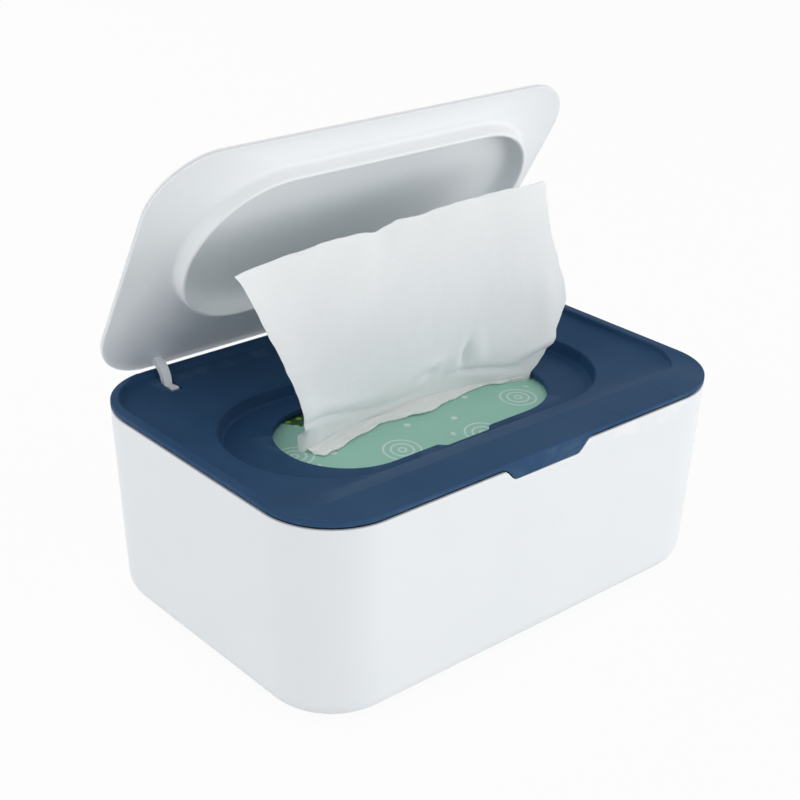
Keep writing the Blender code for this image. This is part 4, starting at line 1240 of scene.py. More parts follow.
def cover_rings():
    """The cover's section round its opening: rim, lip, seat, deck, recess, underside and skirt."""
    box, cover = settings().box, settings().cover
    top, parting = rim_top(), parting_height()
    edge, wall = box.rim_edge, cover.wall
    seat_floor = top - cover.seat_depth
    high, floor = recess_edge(), recess_floor()
    under_floor = floor - wall
    skirt_out = box.wall + cover.clearance
    skirt_in = skirt_out + cover.skirt_thickness
    skirt_bottom = parting - cover.skirt_depth
    lean = box.taper * cover.skirt_depth / box.height
    under_seat = seat_outline(-wall - edge)
    under_edge = recess_outline(wall + edge)
    chamfer = ((0.00055, parting), (0.00045, parting + 0.0002), (0.0, parting + 0.0005))
    turns = [share * pi / 2 for share in shares(4)]
    rounding = [(edge * (1.0 - cos(turn)), top - edge + edge * sin(turn)) for turn in turns]
    rings = levels(rim_outline, chamfer) + levels(rim_outline, rounding) + seat_rings()
    rings += dish_rings(recess_outline(0.0006), seat_outline(-0.0013), seat_floor, high)
    recess_side = (
        (0.0006, high + 0.00005),
        (0.00035, high - 0.00003),
        (0.0001, high - 0.0002),
        (-0.00003, high - 0.00045),
        (-0.0001, high - 0.0007),
        (-0.0008, floor + 0.0010),
        (-0.0010, floor + 0.0006),
        (-0.0013, floor + 0.0003),
        (-0.0017, floor + 0.00008),
        (-0.0022, floor),
    )
    opening_edge = (
        (0.0004, floor),
        (0.0001, floor - 0.0001),
        (0.0, floor - 0.0004),
        (0.0, under_floor + 0.0003),
        (0.0002, under_floor),
    )
    recess_under = (
        (0.0002, under_floor),
        (0.0009, under_floor + 0.0007),
        (wall - 0.0002, high - wall - 0.0003),
        (wall + edge, high - wall),
    )
    rings += levels(recess_outline, recess_side) + levels(opening_outline, opening_edge)
    rings += levels(recess_outline, recess_under)
    rings += reversed(dish_rings(under_edge, under_seat, seat_floor, high, wall))
    rings.append(deck_ring(under_seat, seat_floor, wall))
    skirt = (
        (skirt_in, seat_floor - wall),
        (skirt_in + lean, skirt_bottom),
        (skirt_out + lean, skirt_bottom),
        (skirt_out, parting - 0.0001),
    )
    return rings + levels(rim_outline, skirt)


def build_cover():
    """The drop-in cover, one closed band of rings round its opening."""
    cover = settings().cover
    item = skin("cover_frame", cover_rings(), joined=True)
    reach = parting_height() + cover.rim_height / 2
    combine(item, tongue_body("tongue", 0.0, reach, 0.0, cover.tongue_thickness), "UNION")
    root = recess_edge() + cover.wall / 2
    for centre in screw_places():
        combine(item, disc("boss", centre, BOSS_RADIUS, boss_end(), root), "UNION")
    cutters = [finger_notch(), hinge_relief()]
    for _, side in HANDS:
        cutters += [arm_slot(side), keeper_pocket(side)]
    low, high = boss_end() - HOLE_LEAD, boss_end() + HOLE_DEPTH
    cutters += [disc("hole", centre, HOLE_RADIUS, low, high) for centre in screw_places()]
    for cutter in cutters:
        combine(item, cutter, "DIFFERENCE")
    return soften(item, COVER_SOFTENING)


def finger_notch():
    """A shallow notch with S-curved ends in the opening's front edge."""
    cover = settings().cover
    line = -cover.opening_width / 2
    curve = []
    for share in shares(CURVE_STEPS):
        x = mix(cover.notch_end, cover.notch_top, share) / 2
        curve.append((x, line - cover.notch_depth * (1.0 + cos(pi * share)) / 2))
    plan = mirrored(curve + [(curve[-1][0], line + cover.notch_depth)])
    return column("finger_notch", plan, recess_floor() - cover.wall * 2, rim_top())


def relief_station(x, radius):
    """One cross-section of the hinge relief: everything above an arc round the axis."""
    turns = [mix(*RELIEF_ANGLES, share) for share in shares(FILLET_STEPS * 2)]
    section = about_axis([(radius, turn) for turn in turns])
    above = rim_top() + settings().cover.rim_height
    section += [(section[-1][0], above), (section[0][0], above)]
    return [(x, y, z) for y, z in section]


def hinge_relief():
    """Rounds the back lip off round the axis, where the lid's edge swings over it."""
    axis_y, axis_z = hinge_axis()
    least = ((axis_y - lid_back()) ** 2 + (lid_plane() - axis_z) ** 2) ** 0.5 - RELIEF_GAP
    straight = seat_half_length() - settings().cover.clearance - settings().lid.corner_radius
    right = [(straight + beyond, least + wider) for beyond, wider in RELIEF_STATIONS]
    return skin("hinge_relief", [relief_station(x, radius) for x, radius in mirrored(right)])


def arm_centre(side):
    """Sideways place of an arm's middle."""
    return side * settings().lid.arm_spacing / 2


def arm_slot(side):
    """The slot in the deck that an arm goes down through."""
    axis_y = hinge_axis()[0]
    half = settings().lid.arm_width / 2 + SLOT_SIDE_GAP
    centre = arm_centre(side)
    low = (centre - half, axis_y - SLOT_FRONT_REACH, recess_floor())
    high = (centre + half, axis_y - SLOT_BACK_REACH, rim_top() + SLOT_ABOVE)
    return block("arm_slot", low, high)


def keeper_pocket(side):
    """Room under the deck and through the skirt for a keeper and the arm's tail."""
    box = settings().box
    axis_y, axis_z = hinge_axis()
    half = keeper_half_width() + settings().cover.clearance
    centre = arm_centre(side)
    low = (centre - half, axis_y - KEEPER_FRONT_REACH - ROOM_IN_FRONT, box.floor)
    high = (centre + half, box.width / 2 - box.wall / 2, axis_z + ROOM_ABOVE)
    return block("keeper_pocket", low, high)


def keeper_half_width():
    """From an arm's middle to its keeper's outer face."""
    return settings().lid.arm_width / 2 + settings().cover.clearance + KEEPER_CHEEK


def boss_end():
    """Height at which the screw bosses stop."""
    return hinge_axis()[1] - KEEPER_HEAD_DROP + settings().cover.clearance


def screw_places():
    """Where the keepers' screws go up into the bosses, from left to right."""
    y = hinge_axis()[0] - KEEPER_FRONT_REACH + SCREW_INSET
    for _, side in HANDS:
        for way in (-1, 1):
            yield (arm_centre(side) + way * (keeper_half_width() + EAR_REACH), y)


def build_screw(name, centre):
    """A round-headed screw with a cross recess, its head down."""
    under = boss_end() - EAR_GAP - EAR_THICKNESS - EAR_GAP
    tip = boss_end() + SCREW_LENGTH
    steps = (
        (0.0007, under - 0.00120),
        (0.0013, under - 0.00105),
        (0.0017, under - 0.00075),
        (0.0019, under - 0.00035),
        (0.0019, under),
        (0.0010, under),
        (0.0010, tip - 0.0005),
        (0.0005, tip),
    )
    screw = turned(f"fixing_{name}", centre, steps)
    x, y = centre
    for half_x, half_y in CROSS_ARMS:
        low = (x - half_x, y - half_y, under - CROSS_LOW)
        high = (x + half_x, y + half_y, under - CROSS_HIGH)
        combine(screw, block("cross", low, high), "DIFFERENCE")
    return screw


# Lid


def lid_outline(inset):
    """The lid's plan, drawn in by an inset."""
    lid = settings().lid
    radius = max(lid.corner_radius - inset * 0.55, lid.corner_radius / 4)
    half_x = seat_half_length() - settings().cover.clearance
    back = lid_back()
    return outline(half_x - inset, back - lid.depth + inset, back - inset, radius)


def oval_outline(spread):
    """The oval wall's plan, widened by a spread."""
    lid = settings().lid
    return stadium(lid.oval_length / 2 + spread, lid.oval_width / 2 + spread)


def open_lid(item):
    """Turn a closed lid piece open round the hinge axis, in its mesh."""
    axis_y, axis_z = hinge_axis()
    there = Matrix.Translation((0.0, axis_y, axis_z))
    turn = Matrix.Rotation(-settings().lid.open_angle, 4, "X")
    item.data.transform(there @ turn @ there.inverted())
    item.data.update()
    return item


def about_axis(points):
    """Polar points (radius, angle) round the axis, as places from front to back and up."""
    axis_y, axis_z = hinge_axis()
    return [(axis_y + r * cos(a), axis_z + r * sin(a)) for r, a in points]


def arc(radius, first, last):
    """Points round the hinge axis from one angle to another."""
    steps = max(1, round(abs(last - first) / ARC_STEP))
    return [(radius, mix(first, last, share)) for share in shares(steps)]


def bellied_arc(root_radius, end_radius, first, last):
    """Points from an arm's root to its end, out a little in the middle."""
    points = []
    for radius, angle in arc(root_radius, first, last):
        share = (angle - first) / (last - first)
        drawn = mix(radius, end_radius, ease(share)) + ARM_BELLY * sin(pi * share)
        points.append((drawn, angle))
    return points


def across_arm(name, points, side, swell):
    """Polar points drawn out to both sides of an arm's middle, wider than its width by a swell."""
    half = settings().lid.arm_width / 2 + swell
    return prism(name, about_axis(points), arm_centre(side) - half, arm_centre(side) + half)


def arm_body(side):
    """One goose-neck arm: a bellied arc round the axis, ending in a foot and a short leg."""
    lid = settings().lid
    root = lid_plane() + lid.edge / 2 - hinge_axis()[1]
    inner_root = pi - asin(root / ARM_INNER_RADIUS)
    outer_root = pi - asin(root / ARM_OUTER_RADIUS)
    turn = radians(1.0)
    points = bellied_arc(ARM_INNER_RADIUS, ARM_INNER_END_RADIUS, inner_root, ARM_TAIL_ANGLE)
    points += [
        (LEG_INNER_RADIUS, FOOT_LAST_ANGLE),
        (LEG_INNER_RADIUS, LEG_END_ANGLE),
        (LEG_OUTER_RADIUS, LEG_END_ANGLE),
        (LEG_OUTER_RADIUS, FOOT_LAST_ANGLE + turn),
        (FOOT_TIP_RADIUS, FOOT_LAST_ANGLE - turn),
        (FOOT_TIP_RADIUS, FOOT_FIRST_ANGLE + turn),
        (FOOT_TIP_RADIUS - 0.0006, FOOT_FIRST_ANGLE),
    ]
    outer = bellied_arc(ARM_OUTER_RADIUS, ARM_OUTER_END_RADIUS, outer_root, FOOT_FIRST_ANGLE)
    return across_arm("arm", points + outer[::-1], side, lid.arm_swell)


def shoe_body(side):
    """The curved shoes on both sides of an arm's leg."""
    last = LEG_END_ANGLE - radians(0.5)
    points = arc(LEG_INNER_RADIUS + SHOE_MARGIN, SHOE_FIRST_ANGLE, last)
    points += arc(LEG_OUTER_RADIUS - SHOE_MARGIN, last, SHOE_FIRST_ANGLE)
    return across_arm("shoe", points, side, SHOE_SIDE)


def build_liner():
    """The lid's underside: bulged panel, oval wall and inner dish, with both arms."""
    lid = settings().lid
    plane = lid_plane()
    base = plane - lid.underside_drop
    free = plane - lid.wall_drop
    dish = free + lid.dish_depth
    wall = lid.oval_wall
    flange_top = plane + lid.edge - lid.seam / 2
    oval_wall = (
        (-0.0100, dish),
        (-0.0070, dish - 0.00008),
        (-0.0052, dish - 0.0003),
        (-0.0040, dish - 0.0008),
        (-0.0030, dish - 0.0015),
        (-0.0022, dish - 0.0025),
        (-0.0016, dish - 0.0038),
        (-0.0011, free + 0.0013),
        (-0.0008, free + 0.0006),
        (-0.0005, free + 0.0002),
        (-0.0002, free + 0.00003),
        (0.0001, free),
        (0.0004, free + 0.00004),
        (0.0007, free + 0.00022),
        (wall * 0.75, free + 0.0005),
        (wall * 0.85, free + 0.0010),
        (wall + 0.0001, base - 0.0022),
        (wall + 0.0003, base - 0.0014),
        (wall + 0.0007, base - 0.0007),
        (wall + 0.0013, base - 0.00022),
        (wall + 0.0022, base),
    )
    rings = levels(oval_outline, oval_wall)
    foot, rim, rim_height = rings[-1], lid_outline(0.0008), plane - 0.0003
    for share in (0.12, 0.24, 0.36, 0.48, 0.60, 0.72, 0.84, 0.93):
        fall = 1.0 - (1.0 - share) ** 1.3
        rings.append(level(between(foot, rim, share), mix(base, rim_height, fall)))
    edge = (
        (0.0008, rim_height),
        (0.0004, plane - 0.00024),
        (0.0001, plane - 0.00008),
        (0.0, plane + 0.0001),
        (0.0, flange_top - 0.0001),
        (0.0001, flange_top),
        (lid.flange, flange_top),
    )
    rings += levels(lid_outline, edge)
    rings += levels(oval_outline, ((wall, base + lid.skin), (-0.0045, dish + lid.skin)))
    item = skin("lid_panel", rings[::-1])
    for _, side in HANDS:
        combine(item, arm_body(side), "UNION")
        combine(item, shoe_body(side), "UNION")
    return open_lid(soften(item, LINER_SOFTENING))


def crown(inset):
    """Height of the lid's crowned top above its shell's edge."""
    lid = settings().lid
    share = min(1.0, inset / (lid.depth * 0.38))
    return lid.crown * (1.0 - (1.0 - share) ** 2)


def build_lid():
    """The lid's crowned outer shell, seated on the liner's flange."""
    lid = settings().lid
    seam = lid_plane() + lid.edge + lid.seam / 2
    top = seam + lid.shell_height
    inside = (0.0400, 0.0290, 0.0190, 0.0110, 0.0050)
    outside = (0.0008, 0.0016, 0.0030, 0.0050, 0.0080, 0.0120, 0.0170, 0.0230, 0.0300, 0.0400)
    edge = (
        (0.0028, seam + 0.0004),
        (0.0022, seam),
        (0.0002, seam),
        (0.00006, seam + 0.00006),
        (0.0, seam + 0.0002),
        (0.0, top - 0.0008),
        (0.00006, top - 0.0005),
        (0.0002, top - 0.00024),
        (0.00045, top - 0.00002),
    )
    steps = [(inset, top + crown(inset) - lid.skin) for inset in inside]
    steps += edge
    steps += [(inset, top + crown(inset)) for inset in outside]
    return open_lid(skin("lid_shell", levels(lid_outline, steps)))


# Pack and wipes


def wipe_foot(across):
    """How far back the pulled wipe's foot stands, at a share of its width."""
    pack = settings().pack
    share = min(1.0, max(0.0, across))
    return pack.wipe_foot + pack.wipe_bow * sin(pi * share) - pack.wipe_turn * share**4


def foot_at(x):
    """How far back the wipe's foot stands, at a sideways place."""
    return wipe_foot((x - WIPE_LEFT[0][0]) / (WIPE_RIGHT[0][0] - WIPE_LEFT[0][0]))


def pack_outline(inset):
    """The pack's plan, drawn in by an inset."""
    pack = settings().pack
    radius = max(pack.corner - inset * 0.4, pack.corner / 3)
    return spaced(centred_outline(pack.length, pack.width, inset, radius), PACK_POINTS)


def slit_outline(spread):
    """The torn slit in the pack's top, from under the next wipe to behind the pulled one."""
    points = []
    oval = stadium(SLIT_HALF_LENGTH + spread, SLIT_WIDTH / 2)
    for x, y in spaced(oval, PACK_POINTS):
        place = x + SLIT_SHIFT
        front = height_at(NEXT_FRONT, place) + 0.0030
        back = max(front, foot_at(place) + 0.0010)
        share = 0.5 + y / SLIT_WIDTH
        torn = ripple(place, share, 0.0, SLIT_TEAR)
        points.append((place, mix(front - spread, back + spread, share) + torn))
    return points


def film_height(x, y):
    """Wrinkles and swell of the film's top."""
    swell = exp(-((x / 0.050) ** 4) - ((y / 0.021) ** 4))
    pulled = exp(-(((y - foot_at(x)) / 0.010) ** 2))
    low = settings().pack.film_wrinkle
    wave = ripple(x, y, 0.0, FILM_BROAD) + ripple(x, y, 0.0, FILM_FINE)
    streak = ripple(x, y * 0.15, 0.0, FILM_STREAK) * pulled
    return swell * (0.0009 + low * wave) + (1.0 - swell) * low * 0.5 * (wave - 0.8) + low * streak


def build_pack():
    """The soft film pack: a thin bag with a torn slit in its wrinkled top."""
    film = settings().pack.film
    floor = settings().box.floor + PACK_LIFT
    top = film_top()
    height = top - floor
    steps = (
        (0.0150, 0.0), (0.0100, 0.0004), (0.0070, 0.0010), (0.0040, 0.0026), (0.0015, 0.0060),
        (0.0004, 0.0105), (0.0, 0.0160),
        (0.0, height * 0.50),
        (0.0, height * 0.75),
        (0.0006, height - 0.0110),
        (0.0018, height - 0.0075),
        (0.0040, height - 0.0046),
        (0.0075, height - 0.0022),
        (0.0120, height - 0.0010),
        (0.0170, height - 0.0004),
    )
    rings = []
    for inset, rise in steps:
        ring = []
        for x, y in pack_outline(inset):
            sway = ripple(x, y, rise, PACK_SIDE) * ease(rise / 0.020)
            sway *= 1.0 - ease((rise - height + 0.010) / 0.010)
            ring.append((x * (1.0 - sway * 14.0), y * (1.0 - sway * 20.0), floor + rise))
        rings.append(ring)
    outer, inner = pack_outline(steps[-1][0]), slit_outline(0.0010)
    for share in shares(FILM_STEPS)[1:]:
        base = mix(top - 0.0004, top, ease(share * 3.0))
        swell = ease(share * 4.0)
        plan = between(outer, inner, share)
        rings.append([(x, y, base + film_height(x, y) * swell) for x, y in plan])
    for plan, below in ((slit_outline(0.0), film / 2), (inner, film * 1.2)):
        rings.append([(x, y, top + film_height(x, y) - below) for x, y in plan])
    rings.append(level(between(outer, inner, 0.5), top - film * 1.2))
    for inset, rise in reversed(steps):
        inside = floor + mix(film, rise - film * 1.5, rise / height)
        plan = pack_outline(inset + film)
        rings.append([(x * INNER_SHARE, y * INNER_SHARE, inside) for x, y in plan])
    return skin("pack_film", rings)


def build_stack(material):
    """The folded wipes in the pack, one layer repeated upward."""
    pack = settings().pack
    thick = pack.layer_pitch * 0.94
    steps = (
        (0.0016, 0.0), (0.0004, 0.14), (0.0, 0.32), (0.0005, 0.50), (0.0, 0.68),
        (0.0004, 0.86), (0.0016, 1.0),
    )
    rings = []
    for inset, share in steps:
        plan = centred_outline(pack.stack_length, pack.stack_width, inset, 0.006)
        rings.append(level(plan, thick * share))
    layer = skin("folded_wipes", rings)
    values = {"Layers": pack.layers, "Pitch": pack.layer_pitch, "Narrow height": 0.017}
    values |= {"Narrowing": 0.15, "Shift": 0.0008, "Seed": 7, "Material": material}
    run_tree(layer, stack_tree(), values)
    layer.data.transform(Matrix.Translation((0.0, 0.0, settings().box.floor + STACK_LIFT)))
    return layer


def thin_sheet(name, columns, rows, thick, point):
    """A closed thin sheet, from two facing grids of points at shares across and up."""
    form = bmesh.new()
    grids = []
    for offset in (-thick / 2, thick / 2):
        grid = []
        for up in shares(rows):
            line = [form.verts.new(point(across, up, offset)) for across in shares(columns)]
            grid.append(line)
        grids.append(grid)
    close_sheet(form, grids)
    return finish_mesh(name, form)


def build_next_wipe():
    """The next wipe's fold, out of the slit and laid forward on the film."""
    thick = settings().pack.wipe_thickness * 1.6
    return thin_sheet("next_wipe_fold", NEXT_COLUMNS, NEXT_ROWS, thick, next_point)


def next_point(across, up, offset):
    """A point of the next wipe: from the slit over its fold to its loose front edge."""
    x = mix(NEXT_FRONT[0][0], NEXT_FRONT[-1][0], across)
    back = foot_at(x) - 0.0009
    front = height_at(NEXT_FRONT, x) + ripple(x, 0.0, 0.0, NEXT_EDGE)
    front += ripple(x, 0.0, 0.0, NEXT_FRAY)
    top = film_top()
    rise = ease(up / 0.16)
    run = max(0.0, (up - 0.12) / 0.88)
    y = mix(back, front, run)
    crest = 0.0016 + ripple(x, 0.0, 0.0, NEXT_CREST)
    over = mix(crest, 0.0005, ease(run * 1.2))
    z = mix(top - 0.0022, top + over, rise)
    z += film_height(x, y) * ease(run * 1.5)
    pleats = sin(run * 15.0 + ripple(x, 0.0, 0.0, NEXT_PLEATS)) * sin(pi * run)
    z += 0.00028 * pleats
    z += ripple(x, y, 0.0, NEXT_CRINKLE) * run
    turn = ease((run - 0.90) / 0.10)
    z += 0.0007 * turn * max(0.0, ripple(x, 0.0, 0.0, NEXT_TURN))
    if rise < 1.0:
        return Vector((x, y + offset * (1.0 - rise), z + offset * rise))
    return Vector((x, y, z + offset))


def close_sheet(form, grids):
    """Faces of two facing grids and of the rim between them."""
    rows, columns = len(grids[0]) - 1, len(grids[0][0]) - 1
    for grid in grids:
        for low, high in zip(grid, grid[1:]):
            for index in range(columns):
                form.faces.new((low[index], low[index + 1], high[index + 1], high[index]))
    border = [(0, column) for column in range(columns)]
    border += [(row, columns) for row in range(rows)]
    border += [(rows, column) for column in range(columns, 0, -1)]
    border += [(row, 0) for row in range(rows, 0, -1)]
    front, back = ([grid[row][column] for row, column in border] for grid in grids)
    for index in range(len(border)):
        after = (index + 1) % len(border)
        form.faces.new((front[index], front[after], back[after], back[index]))


def wipe_place(across, up):
    """Sideways place and height on the pulled wipe, filled in between its four edges."""
    left = along(WIPE_LEFT, up)
    right = along(WIPE_RIGHT, up)
    top = along(WIPE_TOP, across)
    values = []
    for index in (0, 1):
        foot_left, foot_right = WIPE_LEFT[0][index], WIPE_RIGHT[0][index]
        top_left, top_right = WIPE_LEFT[-1][index], WIPE_RIGHT[-1][index]
        foot = mix(foot_left, foot_right, across)
        corners = mix(foot, mix(top_left, top_right, across), up)
        sides = mix(left[index], right[index], across)
        ends = mix(foot, top[index], up)
        values.append(sides + ends - corners)
    return values


def wipe_depth(x, z, across, up):
    """How far back a place on the pulled wipe stands, with its folds."""
    pack = settings().pack
    foot = wipe_foot(across) - 0.0036 * exp(-((across / 0.055) ** 2))
    y = mix(pack.wipe_foot - pack.wipe_lean, foot, (1.0 - up) ** 2)
    free = ease(up * 6.0)
    for place, height, turn, long, wide, depth in WIPE_FORMS:
        c, s = cos(radians(turn)), sin(radians(turn))
        u = ((x - place) * c + (z - height) * s) / long
        v = ((z - height) * c - (x - place) * s) / wide
        y += depth * exp(-u * u - v * v) * free
    y += 0.0005 * sin(across * 3.2 * pi + up * 2.4) * free
    y += (ripple(x, 0.0, z, WIPE_BROAD) + ripple(x, 0.0, z, WIPE_MIDDLE)) * free
    y += ripple(x, 0.0, z, WIPE_FINE) * free
    curl = ease((up - 0.965) / 0.035) * ripple(x, 0.0, 0.0, WIPE_CURL)
    return y + 0.0010 * curl


def rolled_corner(x, y, z, across):
    """A place near the wipe's lower left border, curled back and laid on the film."""
    share = max(0.0, 1.0 - across / CURL_SHARE)
    low = 1.0 - ease((z - CURL_TOP) / CURL_FADE)
    lifted = max(z, film_top() + 0.0006 + (z - WIPE_LEFT[0][1]) * 0.6)
    x = mix(x, CURL_LINE - CURL_BULGE * sin(0.58 * pi * share), low * ease(share * 4.0))
    z = mix(z, lifted, low * ease(share * 2.5))
    return x, y + CURL_BACK * share * share * low, z


def wipe_point(across, up, offset):
    """A point of the pulled wipe, its borders a little uneven."""
    x, z = wipe_place(across, up)
    loose = ease(up * 8.0)
    border = exp(-min(across, 1.0 - across) / 0.02) + exp(-(1.0 - up) / 0.03)
    x += ripple(z, 0.0, x, BORDER_SIDEWAYS) * border * loose
    z += ripple(x, 0.0, z, BORDER_UPWARD) * border * loose
    x, y, z = rolled_corner(x, wipe_depth(x, z, across, up), z, across)
    return x, y + offset, z


def build_wipe():
    """The wipe pulled up through the slit: a thin sheet in soft folds."""
    thick = settings().pack.wipe_thickness
    return thin_sheet("pulled_wipe_sheet", WIPE_COLUMNS, WIPE_ROWS, thick, wipe_point)


# Operators


class DISPENSER_OT_box(Operator):
    """Make the box and its four pads."""

    bl_idname = "dispenser.make_box"
    bl_label = "Make box"

    def execute(self, context):
        looks = settings().looks
        white = plastic("box_white", looks.box_white, looks.white_mottle_and_highlight, **BOX_FINISH)
        dress(build_box(), white, "base", "box")
        rubber = soft_rubber("pad_rubber", looks.rubber)
        for name, centre in foot_places():
            dress(build_pad(name, centre, rubber), rubber, "base", name)
        return {"FINISHED"}


class DISPENSER_OT_cover(Operator):
    """Make the cover and its screws, and give the keepers their plastic."""

    bl_idname = "dispenser.make_cover"
    bl_label = "Make cover"

    def execute(self, context):
        looks = settings().looks
        navy = plastic("cover_navy", looks.navy, looks.navy_mottle_and_highlight, **COVER_FINISH)
        dress(build_cover(), navy, "cover", "cover")
        # The cover's navy tints the keepers' mottling and paints a highlight on their convex edges
        acetal = plastic("keeper_navy", looks.keeper, looks.navy, **KEEPER_FINISH)
        for hand, _ in HANDS:
            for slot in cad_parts[f"keeper_{hand}"].material_slots:
                slot.material = acetal
        steel = brushed_steel("screw_plating")
        names = ("left_outer", "left_inner", "right_inner", "right_outer")
        for name, centre in zip(names, screw_places()):
            screw = build_screw(name, centre)
            dress(screw, steel, "cover", f"keeper_screw_{name}")
        return {"FINISHED"}


class DISPENSER_OT_lid(Operator):
    """Make the lid's shell and its underside with the arms."""

    bl_idname = "dispenser.make_lid"
    bl_label = "Make lid"

    def execute(self, context):
        looks = settings().looks
        white = plastic("lid_white", looks.lid_white, looks.white_mottle_and_highlight, **LID_FINISH)
        dress(build_liner(), white, "lid", "lid_liner")
        dress(build_lid(), white, "lid", "lid")
        return {"FINISHED"}


class DISPENSER_OT_pack(Operator):
    """Make the film pack and the folded wipes in it."""

    bl_idname = "dispenser.make_pack"
    bl_label = "Make pack"

    def execute(self, context):
        looks = settings().looks
        film = printed_film("mint_film", looks)
        pack = dress(build_pack(), film, "base", "wipes_pack")
        cream = wipe_cloth("folded_cloth", looks.cream, looks.cloth, 0.2)
        stack = dress(build_stack(cream), cream, "base", "wipe_stack")
        fold = dress(build_next_wipe(), cream, "base", "next_wipe")
        return {"FINISHED"}


class DISPENSER_OT_wipe(Operator):
    """Make the pulled wipe."""

    bl_idname = "dispenser.make_wipe"
    bl_label = "Make pulled wipe"

    def execute(self, context):
        looks = settings().looks
        shade = tuple(value * 0.93 for value in looks.cloth)
        cloth = wipe_cloth("wipe_cloth", looks.cloth, shade, 0.30)
        wipe = dress(build_wipe(), cloth, "cover", "pulled_wipe")
        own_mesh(wipe)
        return {"FINISHED"}


class DISPENSER_OT_stage(Operator):
    """Make the floor, the lights and the camera."""

    bl_idname = "dispenser.make_stage"
    bl_label = "Make stage"

    def execute(self, context):
        scene = context.scene
        scene.view_settings.view_transform = "Standard"
        build_floor(-settings().box.foot_stand)
        build_world(scene)
        for lamp in LAMPS:
            build_lamp(*lamp)
        scene.camera = build_camera()
        return {"FINISHED"}


# Stage

# Each lamp's name, place, aim, width and height, and power
LAMPS = (
    ("left_panel", (-1.25, 0.30, 0.50), (0.0, 0.0, 0.05), (0.9, 0.9), 4.1),
    ("front_panel", (0.74, -1.18, 0.30), (0.0, 0.0, 0.10), (2.0, 0.56), 9.1),
    ("fill_panel", (-0.25, -1.25, 0.16), (0.0, 0.0, 0.12), (0.8, 0.28), 0.7),
    ("back_panel", (-0.25, 1.25, 0.95), (0.0, 0.0, 0.05), (1.2, 0.8), 3.2),
)
CAMERA_PLACE = (-0.3326, -0.3709, 0.3020)
CAMERA_BACK = (-0.5970, -0.6798, 0.4261)
CAMERA_ROLL = radians(1.284)
CAMERA_LENS = 70.08
SENSOR_WIDTH = 36.0
CLIP_NEAR, CLIP_FAR = 0.01, 20.0
WORLD_LIGHT = 0.60
FLOOR_GLOW = 0.92
FLOOR_REACH = 4.0
FLOOR_TONE = (0.92, 0.92, 0.92, 1.0)
WHITE = (1.0, 1.0, 1.0, 1.0)


def seen_ray(tree):
    """1 for rays that see the background: camera, glossy and transmission rays."""
    path = tree.nodes.new("ShaderNodeLightPath").outputs
    seen = math_node(tree, "MAXIMUM", path["Is Camera Ray"], path["Is Glossy Ray"])
    return math_node(tree, "MAXIMUM", seen, path["Is Transmission Ray"])


def build_world(scene):
    """Surroundings that look white, and light the object less than they look."""
    world = bpy.data.worlds.new("studio")
    world.use_nodes = True
    tree = world.node_tree
    strength = math_node(tree, "MULTIPLY_ADD", seen_ray(tree), 1.0 - WORLD_LIGHT, WORLD_LIGHT)
    feed(tree, tree.nodes["Background"], {"Color": WHITE, "Strength": strength})
    scene.world = world


def build_floor(height):
    """A wide pale floor that keeps the object's shadow."""
    form = bmesh.new()
    corners = ((-1, -1), (1, -1), (1, 1), (-1, 1))
    places = [(x * FLOOR_REACH, y * FLOOR_REACH, height) for x, y in corners]
    form.faces.new([form.verts.new(place) for place in places])
    floor = finish_mesh("floor", form)
    material, tree, shader, _ = new_material("floor_white")
    feed(tree, shader, {"Base Color": FLOOR_TONE, "Roughness": 0.9, "Specular IOR Level": 0.0})
    glow = shader_node(tree, "ShaderNodeEmission", {"Color": WHITE, "Strength": 1.0})
    share = product(tree, seen_ray(tree), FLOOR_GLOW)
    both = {0: share, 1: shader.outputs[0], 2: glow.outputs[0]}
    both = shader_node(tree, "ShaderNodeMixShader", both).outputs[0]
    feed(tree, tree.nodes["Material Output"], {"Surface": both})
    floor.data.materials.append(material)


def build_lamp(name, place, aim, extent, power):
    """A soft lamp of a width and a height, aimed at a point."""
    lamp = bpy.data.lights.new(name, "AREA")
    lamp.shape = "RECTANGLE"
    lamp.size, lamp.size_y = extent
    lamp.energy = power
    item = bpy.data.objects.new(name, lamp)
    item.location = place
    item.rotation_euler = (Vector(aim) - Vector(place)).to_track_quat("-Z", "Y").to_euler()
    bpy.context.scene.collection.objects.link(item)


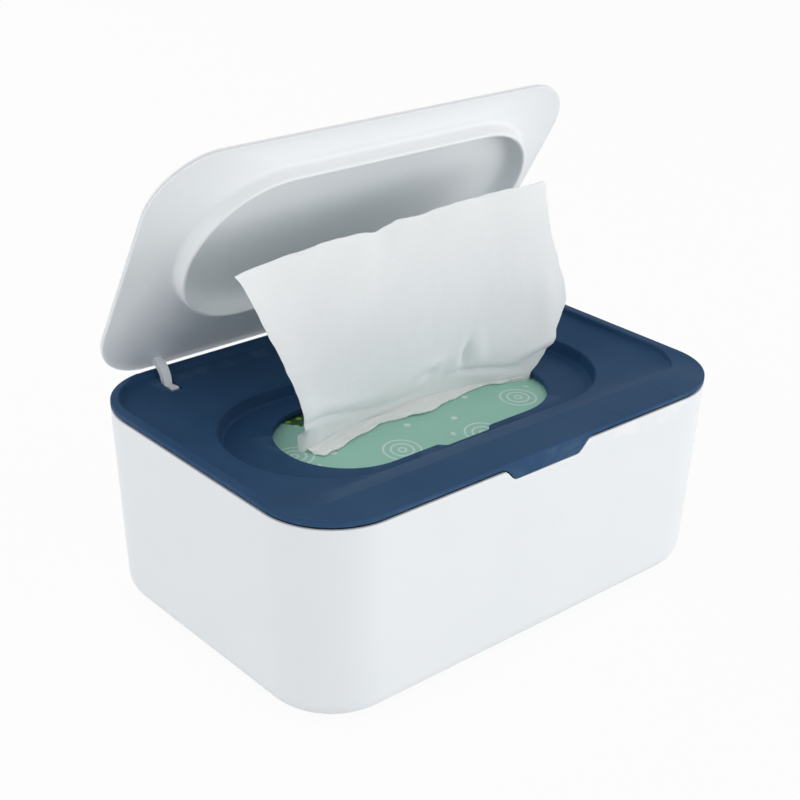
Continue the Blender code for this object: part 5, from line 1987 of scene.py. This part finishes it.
def build_camera():
    """The camera at the photo's angle."""
    lens = bpy.data.cameras.new("camera")
    lens.lens = CAMERA_LENS
    lens.sensor_width = SENSOR_WIDTH
    lens.clip_start, lens.clip_end = CLIP_NEAR, CLIP_FAR
    camera = bpy.data.objects.new("camera", lens)
    bpy.context.scene.collection.objects.link(camera)
    back = Vector(CAMERA_BACK).normalized()
    right = Vector((0.0, 0.0, 1.0)).cross(back).normalized()
    up = back.cross(right)
    c, s = cos(CAMERA_ROLL), sin(CAMERA_ROLL)
    turn = Matrix((right * c + up * s, up * c - right * s, back)).transposed().to_4x4()
    camera.matrix_world = Matrix.Translation(CAMERA_PLACE) @ turn
    return camera


# Panel, registration and run


class DISPENSER_PT_panel(Panel):
    """Settings and buttons of the wipes dispenser."""

    bl_idname = "DISPENSER_PT_panel"
    bl_label = "Wipes dispenser"
    bl_space_type = "VIEW_3D"
    bl_region_type = "UI"
    bl_category = "Dispenser"

    def draw(self, context):
        every = context.scene.dispenser
        for group, operators in (
            (every.looks, (DISPENSER_OT_stage,)),
            (every.box, (DISPENSER_OT_box,)),
            (every.cover, (DISPENSER_OT_cover,)),
            (every.lid, (DISPENSER_OT_lid,)),
            (every.pack, (DISPENSER_OT_pack, DISPENSER_OT_wipe)),
        ):
            rows = self.layout.box().column()
            for key in group.__annotations__:
                rows.prop(group, key)
            for operator in operators:
                rows.operator(operator.bl_idname)


CLASSES = (
    DispenserBoxSettings,
    DispenserCoverSettings,
    DispenserLidSettings,
    DispenserPackSettings,
    DispenserLookSettings,
    DispenserSettings,
    DISPENSER_OT_stage,
    DISPENSER_OT_box,
    DISPENSER_OT_cover,
    DISPENSER_OT_lid,
    DISPENSER_OT_pack,
    DISPENSER_OT_wipe,
    DISPENSER_PT_panel,
)


def register():
    """Register the classes and the settings."""
    for item in CLASSES:
        bpy.utils.register_class(item)
    bpy.types.Scene.dispenser = PointerProperty(
        type=DispenserSettings,
        name="Wipes dispenser",
        description="Settings of the wipes dispenser",
    )


def unregister():
    """Take the settings and the classes away."""
    del bpy.types.Scene.dispenser
    for item in reversed(CLASSES):
        bpy.utils.unregister_class(item)


def main():
    """Build the scene piece by piece."""
    register()
    steps = (
        bpy.ops.dispenser.make_stage,
        bpy.ops.dispenser.make_box,
        bpy.ops.dispenser.make_cover,
        bpy.ops.dispenser.make_lid,
        bpy.ops.dispenser.make_pack,
        bpy.ops.dispenser.make_wipe,
    )
    for step in steps:
        if step() != {"FINISHED"}:
            raise RuntimeError(f"{step.idname()} did not finish")


if __name__ == "__main__":
    main()
